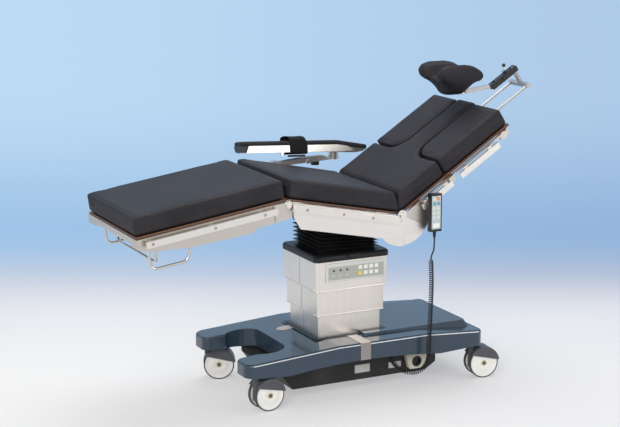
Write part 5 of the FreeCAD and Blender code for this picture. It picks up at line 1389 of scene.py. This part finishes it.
@dataclass
class Fasteners:
    """Small bright screws, each group joined into one piece per body."""

    radius: float = 0.0042
    tall: float = 0.0012
    seat_rail: tuple[float, ...] = (0.072, 0.232, 0.363)
    leg_rail: tuple[float, ...] = (0.110, 0.316, 0.566)

    def screw(self) -> Shape:
        """Models one button-head screw on the row origin, looking to -Y, with its socket."""
        head = Shape.drum("screw", (0, 0.0006, 0), (0, -self.tall, 0), self.radius, 20)
        head.edit(facing(y=-1), bpy.ops.mesh.inset, thickness=self.radius * 0.45, depth=0.0003)
        head.edit(lambda face: face.normal.y < -0.95 and face.area < self.radius ** 2 * 1.2,
                  bpy.ops.mesh.inset, thickness=0.0003, depth=-0.0010)
        return head.soften(0.0003, 2)

    def group(self, name: str, body: str, section: Section,
              spots: Sequence[tuple[float, float, float]],
              turn: float = 0.0) -> None:
        """Copies the screw to its spots.

        Args:
            name: The group's name.
            body: The body that it moves with.
            section: The frame that the spots are told in.
            spots: The heads' centres on the surface.
            turn: How far the heads are turned about Z from looking to -Y.
        """
        master = self.screw()
        way = Matrix.Rotation(math.radians(turn), 4, "Z")
        copies = [master.copy(name, Matrix.Translation(spot) @ way) for spot in spots]
        bpy.data.objects.remove(master.obj)
        heads = Shape.group(name, copies)
        heads.place(section).paint(BRIGHT.make(section)).smooth().ride(body, "steel")

    def sockets(self, name: str, body: str, section: Section,
                spots: Sequence[tuple[float, float, float]]) -> None:
        """Sets a driver recess into each of the CAD model's rail screws, its darkness painted
        shade, and a dark ring round each head as a painted shadow.
        """
        heads = []
        for x, y, z in spots:
            side = -1.0 if y < 0 else 1.0
            shadow_ring_face = side * 0.2950
            # The small dark disc is the recess, darkened as painted shade; the wide dark disc on
            # the rail is a painted shadow ring round the head.
            for radius, start, end in ((0.0021, y, y + side * 0.0005),
                                       (0.0054, shadow_ring_face, shadow_ring_face + side * 0.0005)):
                head = Shape.drum("recess", (x, start, z), (x, end, z), radius, 20)
                head.edit(facing(y=side), bpy.ops.mesh.inset, thickness=0.0005, depth=-0.0003)
                heads.append(head)
        recesses = Shape.group(name, heads)
        recesses.place(section).paint(BLACK_METAL.make(section)).smooth().ride(body, "steel")

    def seams(self) -> None:
        """Builds painted shade lines: dark strips along the edges where the plates of the hinge
        fans overlap.
        """
        for body, angle, face in (("fan", -25.6, 0.2729), ("seat", -85.4, 0.2750)):
            # Each dark strip is painted shade, standing for the shadow at the step of a plate's
            # edge.
            fold = Section(0.15633, 0.7236, angle)
            lines = [Shape.block("fan_line", (0.030, side * face - 0.00015, -0.0006),
                                 (0.1215, side * face + 0.00015, 0.0006)) for side in (-1, 1)]
            for line in lines:
                line.edit(lambda face: abs(face.normal.y) > 0.95, bpy.ops.mesh.inset,
                          thickness=0.0002)
            seam = Shape.group("fan_line_" + body, lines)
            seam.place(fold).paint(BLACK_METAL.make(fold)).smooth().ride(body, "steel")

    def build(self) -> None:
        """Builds the column covers' screws, the rail screws' recesses with their painted shade and
        painted shadow rings, and the fans' painted shade lines.
        """
        self.seams()
        half_x, half_y, step = 0.160, 0.150, 0.0095
        for index, (body, low) in enumerate((("lift_head", 0.421), ("middle_cover", 0.318))):
            x = half_x - index * step
            y = half_y - index * step
            self.group("cover_screws_near_%d" % index, body, LEVEL,
                       [(u, -y, low) for u in (-x + 0.02, x - 0.02)])
            self.group("cover_screws_foot_%d" % index, body, LEVEL,
                       [(-x, v, low) for v in (-y + 0.02, y - 0.02)], -90)
        faces = (-0.2962, 0.2962)
        self.sockets("seat_rail_recesses", "seat", SEAT,
                     [(u, y, -0.029) for y in faces for u in self.seat_rail])
        self.sockets("leg_rail_recesses", "leg", LEG,
                     [(-u, y, -0.029) for y in faces for u in self.leg_rail])


@dataclass
class ColumnTrim:
    """Folded hems and corner seams of the column covers, and the latches of the cap."""

    half_x: float = 0.160
    half_y: float = 0.150
    step: float = 0.0095
    hem: float = 0.0050
    proud: float = 0.0014
    corner: float = 0.008

    def hems(self) -> None:
        """Builds the folded hem round the lower edge of the two outer covers."""
        for index, (body, low) in enumerate((("lift_head", 0.413), ("middle_cover", 0.310))):
            x = self.half_x - index * self.step + self.proud
            y = self.half_y - index * self.step + self.proud
            hem = Shape.block("column_hem_%d" % index, (-x, -y, low), (x, y, low + self.hem))
            hem.corners(self.corner)
            for way in (1, -1):
                hem.edit(facing(z=way), bpy.ops.mesh.inset, thickness=self.proud + 0.0016)
            hem.edit(lambda face: abs(face.normal.z) > 0.95 and face.area > 0.02,
                     bpy.ops.mesh.bridge_edge_loops)
            hem.soften(0.0006, 2)
            hem.paint(STEEL_UPRIGHT.make()).smooth().ride(body, "steel")

    def seams(self) -> None:
        """Builds the narrow seam strips up the foot and head sides of each cover."""
        covers = (("lift_head", 0.419, 0.535), ("middle_cover", 0.316, 0.412),
                  ("base", 0.2240, 0.3090))
        for index, (body, low, high) in enumerate(covers):
            x = self.half_x - index * self.step
            for side in (-1, 1):
                seam = Shape.block("column_seam", (side * x - 0.0003, -0.0012, low),
                                   (side * x + 0.0003, 0.0012, high))
                seam.edit(facing(x=side), bpy.ops.mesh.inset, thickness=0.0005, depth=-0.0002)
                seam.obj.name = "column_seam_%d_%s" % (index, "foot" if side < 0 else "head")
                seam.paint(STEEL_DARK.make()).smooth().ride(body, "steel")

    def latches(self) -> None:
        """Builds the two raised covers on the near side of the cap."""
        for index, (left, right) in enumerate(((-0.146, -0.036), (-0.021, 0.031))):
            latch = Shape.block("cap_latch_%d" % index, (left, -0.1605, 0.5400),
                                (right, -0.1555, 0.5580))
            latch.edit(facing(y=-1), bpy.ops.mesh.inset, thickness=0.0030, depth=0.0012)
            latch.soften(0.0014, 3)
            latch.paint(BLACK.make()).smooth().ride("lift_head", "black_moulding")

    def build(self) -> None:
        """Builds the trim."""
        self.hems()
        self.seams()
        self.latches()


@dataclass
class Labels:
    """Bare label plates, with nothing printed on them."""

    sticker: Point = (-0.1855, 0.078, 0.2173)
    sticker_tilt: float = 4.02
    sticker_squash: float = 0.62

    def plate(self, name: str, body: str, section: Section, low: Point, high: Point,
              finish: Moulding) -> None:
        """Builds one thin plate with its corners rounded.

        Args:
            name: The plate's name.
            body: The body that it moves with.
            section: The frame that its corners are told in.
            low: Its low corner.
            high: Its high corner.
            finish: Its finish.
        """
        plate = Shape.block(name, low, high)
        plate.edit(facing(y=-1), bpy.ops.mesh.inset, thickness=0.0012, depth=0.0001)
        plate.soften(0.0002, 2)
        plate.place(section).paint(finish.make(section)).smooth().ride(body, "panel")

    def oval(self) -> None:
        """Builds the pale oval sticker with its red rim on the base cover's deck."""
        tilt = Matrix.Rotation(math.radians(-self.sticker_tilt), 4, "Y")
        flatten = Matrix.Diagonal((1.0, self.sticker_squash, 1.0, 1.0))
        move = Matrix.Translation(self.sticker) @ tilt @ flatten
        for name, radius, top, finish in (("deck_sticker_rim", 0.0450, 0.0006, RIM),
                                          ("deck_sticker", 0.0415, 0.0008, PAPER)):
            disc = Shape.drum(name, (0, 0, -0.0012), (0, 0, top), radius, 48)
            disc.edit(facing(z=1), bpy.ops.mesh.inset, thickness=0.0008)
            disc.obj.data.transform(move)
            disc.paint(finish.make()).smooth().ride("base", "panel")

    def build(self) -> None:
        """Builds the plates."""
        self.plate("tub_plate_wide", "base", LEVEL, (-0.007, -0.1912, 0.0726),
                   (0.061, -0.1898, 0.1060), FOIL)
        self.plate("tub_plate_small", "base", LEVEL, (0.148, -0.1912, 0.0720),
                   (0.205, -0.1898, 0.0970), FOIL)
        self.oval()


@dataclass
class BaseTrim:
    """Low rim on the base cover, at the column's foot."""

    def groove(self) -> None:
        """Builds the rim along three sides of the column's rubber frame."""
        bars = []
        for low, high in (((-0.166, -0.156, 0.2218), (0.038, -0.150, 0.2246)),
                          ((-0.166, 0.150, 0.2218), (0.038, 0.156, 0.2246)),
                          ((-0.166, -0.156, 0.2218), (-0.160, 0.156, 0.2246))):
            bars.append(Shape.block("rim", low, high).soften(0.0012, 3))
        Shape.group("column_rim", bars).paint(GLOSS.make()).smooth().ride("base", "base_gloss")

    def build(self) -> None:
        """Builds the trim."""
        self.groove()


@dataclass
class Frame:
    """The CAD nodes that stay in view, each with its finish."""

    frame: dict

    def dress(self, finish: object, section: Section, *nodes: str) -> None:
        """Gives CAD nodes one material.

        Args:
            finish: The finish that makes the material.
            section: The frame that its grain follows.
            nodes: The nodes' names.
        """
        material = finish.make(section)
        for name in nodes:
            obj = self.frame["nodes"][name]
            obj.data.materials.clear()
            obj.data.materials.append(material)
            LOG.info("node %s is dressed in %s", name, material.name)

    def build(self) -> None:
        """Dresses every node that no new piece stands for."""
        self.dress(GLOSS, LEVEL, "base_cover_foot", "base_cover_head")
        self.dress(STEEL_CROSS, LEVEL, "base_strip")
        self.dress(CHASSIS, LEVEL, "chassis_frame")
        self.dress(TUB, LEVEL, "base_tub")
        self.dress(HOOD, LEVEL, *["castor_" + name for name in Castors().places])
        self.dress(RUBBER, LEVEL, "column_seal")
        self.dress(STEEL_UPRIGHT, LEVEL, "column_cover_lower", "column_cover_middle",
                   "column_cover_upper")
        self.dress(STEEL_DARK, LEVEL, "lift_guide_outer", "lift_guide_inner", "tilt_cradle")
        self.dress(BLACK, LEVEL, "column_cap", "arm_knob")
        self.dress(STEEL, SEAT, "seat_frame", "seat_rails", "seat_covers")
        # The back frame takes the darker steel as painted shade below its rails.
        self.dress(STEEL_SHADED, BACK, "back_frame")
        self.dress(STEEL, BACK, "back_rails")
        self.dress(ROD, BACK, "head_rods", "head_link_lower")
        self.dress(STEEL, LEVEL, "hinge_fan", "arm_support", "arm_clamp")
        # The leg frame takes the darker steel as painted shade below its rails.
        self.dress(STEEL_SHADED, LEG, "leg_frame")
        self.dress(STEEL, LEG, "leg_rails")
        self.dress(Steel(tone=(0.62, 0.61, 0.59), rough=0.20), LEG, "leg_handles")
        self.dress(LAMINATE, SEAT, "seat_board")
        self.dress(LAMINATE, LEG, "leg_board")
        self.dress(LAMINATE, BACK, "back_board")
        self.dress(BLACK_METAL, BACK, "head_link_upper")
        self.dress(self.socket(), LEVEL, "power_socket")
        self.dress(self.lever(), LEVEL, "head_lever")
        self.dress(self.arm(), ARM, "arm_frame")

    def socket(self) -> TwoPart:
        """Gives the pale power-socket housing with its black socket."""
        def round_face(x: Value, y: Value, z: Value) -> Value:
            """Gives 1 on the round socket and 0 on its housing."""
            reach = ((x - 0.268) ** 2.0 + (z - 0.092) ** 2.0).root()
            return 1.0 - reach.step(0.0228, 0.0231)

        return TwoPart("socket_housing", (0.012, 0.012, 0.012), (0.52, 0.50, 0.43), (0.35, 0.45),
                       (0.0, 0.0), round_face)

    def lever(self) -> TwoPart:
        """Gives the bright lever with its black ball."""
        return TwoPart("lever", (0.012, 0.012, 0.012), (0.75, 0.73, 0.70), (0.22, 0.25), (0.0, 1.0),
                       lambda x, y, z: z.step(1.2435, 1.2440))

    def arm(self) -> TwoPart:
        """Gives the arm board's steel frame with its black end cap."""
        return TwoPart("arm_frame_steel", (0.016, 0.016, 0.018), (0.74, 0.71, 0.67), (0.42, 0.28),
                       (0.0, 1.0),
                       lambda x, y, z: 1.0 - (x - z * 0.39).step(-0.4225, -0.4222))


@dataclass
class Studio:
    """Floor, backdrop, lamps and camera."""

    eye: Point = (-2.9910, -5.7567, 2.0865)
    target: Point = (-0.1131, 0.0, 0.7032)
    lens: float = 95.33
    front: float = -12.0
    width: float = 26.0
    floor_end: float = 1.6
    curve: float = 1.2
    wall: float = 4.0
    level: float = 0.42
    heading: float = 26.56
    floor_near: Colour = (0.9, 0.9, 0.9)
    floor_far: Colour = (0.6, 0.65, 0.75)
    sky_low: Colour = (0.35, 0.55, 0.8)
    sky_high: Colour = (0.5, 0.7, 0.9)
    shade: Point = (0.85, 0.85, 0.9)

    @staticmethod
    def aim(obj: bpy.types.Object, place: Point, target: Point) -> None:
        """Sets an object at a place, looking at a target."""
        obj.location = place
        run = Vector(target) - Vector(place)
        obj.rotation_euler = run.to_track_quat("-Z", "Y").to_euler()

    def camera(self) -> None:
        """Sets the camera at the photograph's angle."""
        data = bpy.data.cameras.new("camera")
        data.lens = self.lens
        data.sensor_width = 36.0
        camera = bpy.data.objects.new("camera", data)
        bpy.context.collection.objects.link(camera)
        self.aim(camera, self.eye, self.target)
        bpy.context.scene.camera = camera

    def lamp(self, name: str, place: Point, aim: Point, size: float, power: float,
             tint: Colour) -> None:
        """Adds one soft square lamp."""
        data = bpy.data.lights.new(name, "AREA")
        data.shape = "RECTANGLE"
        data.size = size
        data.size_y = size
        data.energy = power
        data.color = tint
        lamp = bpy.data.objects.new(name, data)
        bpy.context.collection.objects.link(lamp)
        self.aim(lamp, place, aim)

    def backdrop(self) -> None:
        """Builds one sheet, square to the view: floor, curve and wall."""
        Shape.clear()
        bpy.ops.mesh.primitive_plane_add(size=1.0)
        sheet = Shape("studio_sweep", bpy.context.object)
        middle = (self.floor_end + self.front) / 2
        size = Matrix.Diagonal((self.width, self.floor_end - self.front, 1.0, 1.0))
        sheet.obj.data.transform(Matrix.Translation((0.0, middle, 0.0)) @ size)
        Shape.take(sheet.obj)
        bpy.context.tool_settings.mesh_select_mode = (False, True, False)
        sheet.pick(lambda face: False)
        for edge in sheet.obj.data.edges:
            ends = [sheet.obj.data.vertices[i].co.y for i in edge.vertices]
            edge.select = min(ends) > self.floor_end - 0.01
        bpy.ops.object.mode_set(mode="EDIT")
        steps = 16
        for step in range(steps):
            angle = math.radians(90) * (step + 0.5) / steps
            run = 2 * self.curve * math.sin(math.radians(45) / steps)
            bpy.ops.mesh.extrude_region_move(
                TRANSFORM_OT_translate={"value": (0, run * math.cos(angle), run * math.sin(angle))})
        bpy.ops.mesh.extrude_region_move(TRANSFORM_OT_translate={"value": (0, 0, self.wall)})
        bpy.ops.object.mode_set(mode="OBJECT")
        sheet.obj.data.transform(Matrix.Rotation(-math.radians(self.heading), 4, "Z"))
        sheet.paint(self.paper()).smooth(60)

    def seen(self, shader: Shader) -> Value:
        """Gives 1 for rays that show a surface, direct or by gloss or glass, and 0 for light."""
        views = [shader.add("ShaderNodeLightPath", output=name)
                 for name in ("Is Camera Ray", "Is Glossy Ray", "Is Transmission Ray")]
        return views[0].most(views[1]).most(views[2])

    def paper(self) -> bpy.types.Material:
        """Makes the sweep's paper: a pale floor, a blue fade above it, and clear from behind."""
        shader = Shader("studio_paper")
        x, y, z = shader.axes(shader.place())
        turn = math.radians(self.heading)
        away = x * math.sin(turn) + y * math.cos(turn) + z
        across = x * math.cos(turn) - y * math.sin(turn)
        fade = shader.mix(away.step(0.0, 1.7), self.floor_near, self.floor_far)
        fade = shader.mix(away.step(1.4, 2.3), fade, self.sky_low)
        fade = shader.mix(away.step(2.2, 3.6), fade, self.sky_high)
        fade = shader.mix(across.step(-1.7, 1.7), fade, shader.stretch(fade, self.shade))
        speck = shader.noise(shader.place(), 60.0, 2.0)
        paper = shader.mix(away.step(1.0, 2.4), (0.80, 0.80, 0.80), (0.62, 0.72, 0.84))
        shader.set(Base_Color=paper, Roughness=0.66 + 0.05 * speck, Specular_IOR_Level=0.0)
        glow = shader.add("ShaderNodeEmission", {}, {0: fade, 1: 1.0})
        part = self.seen(shader) * (0.5 + 0.5 * away.step(0.9, 1.9))
        body = Value(shader, shader.surface.outputs[0])
        both = shader.add("ShaderNodeMixShader", {}, {0: part, 1: body, 2: glow})
        behind = shader.add("ShaderNodeNewGeometry", output="Backfacing")
        clear = shader.add("ShaderNodeBsdfTransparent")
        sheet = shader.add("ShaderNodeMixShader", {}, {0: behind, 1: both, 2: clear})
        output = next(node for node in shader.tree.nodes if node.type == "OUTPUT_MATERIAL")
        shader.tree.links.new(sheet.socket, output.inputs[0])
        return shader.material

    def world(self) -> None:
        """Sets a pale world, nearly white in gloss and metal, that lights at a lower level."""
        world = bpy.data.worlds.new("studio")
        bpy.context.scene.world = world
        world.use_nodes = True
        nodes, links = world.node_tree.nodes, world.node_tree.links
        nodes.clear()
        path = nodes.new("ShaderNodeLightPath")
        first = nodes.new("ShaderNodeMath")
        second = nodes.new("ShaderNodeMath")
        for node in (first, second):
            node.operation = "MAXIMUM"
        links.new(path.outputs["Is Camera Ray"], first.inputs[0])
        links.new(path.outputs["Is Glossy Ray"], first.inputs[1])
        links.new(first.outputs[0], second.inputs[0])
        links.new(path.outputs["Is Transmission Ray"], second.inputs[1])
        lit = nodes.new("ShaderNodeBackground")
        lit.inputs[0].default_value = (0.96, 0.96, 0.97, 1.0)
        lit.inputs[1].default_value = self.level
        shown = nodes.new("ShaderNodeBackground")
        shown.inputs[0].default_value = (0.93, 0.94, 0.96, 1.0)
        shown.inputs[1].default_value = 0.95
        mix = nodes.new("ShaderNodeMixShader")
        links.new(second.outputs[0], mix.inputs[0])
        links.new(lit.outputs[0], mix.inputs[1])
        links.new(shown.outputs[0], mix.inputs[2])
        output = nodes.new("ShaderNodeOutputWorld")
        links.new(mix.outputs[0], output.inputs[0])

    def build(self) -> None:
        """Sets the whole studio."""
        bpy.context.scene.view_settings.view_transform = "Standard"
        self.camera()
        self.backdrop()
        self.world()
        self.lamp("key", (-4.2, -4.6, 3.4), (0.0, 0.0, 0.6), 3.0, 235.0, (1.0, 0.97, 0.93))
        self.lamp("fill", (3.4, -4.2, 2.2), (0.1, 0.0, 0.5), 2.6, 70.0, (1.0, 0.98, 0.96))
        self.lamp("top", (0.4, 0.8, 4.6), (0.0, 0.0, 0.8), 3.0, 125.0, (1.0, 0.99, 0.98))


def main() -> None:
    """Builds every piece in order."""
    logging.basicConfig(level=logging.INFO, format="%(name)s: %(message)s")
    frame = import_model()
    NODES.update(frame["nodes"])
    Shape.clear()
    Frame(frame).build()
    TableTop().build()
    Headrest().build()
    ArmBoard().build()
    Castors().build()
    Bellows().build()
    ControlPanel().build()
    Handset().build()
    HandsetCord().build()
    Fasteners().build()
    BaseTrim().build()
    ColumnTrim().build()
    Labels().build()
    Studio().build()


if __name__ == "__main__":
    main()
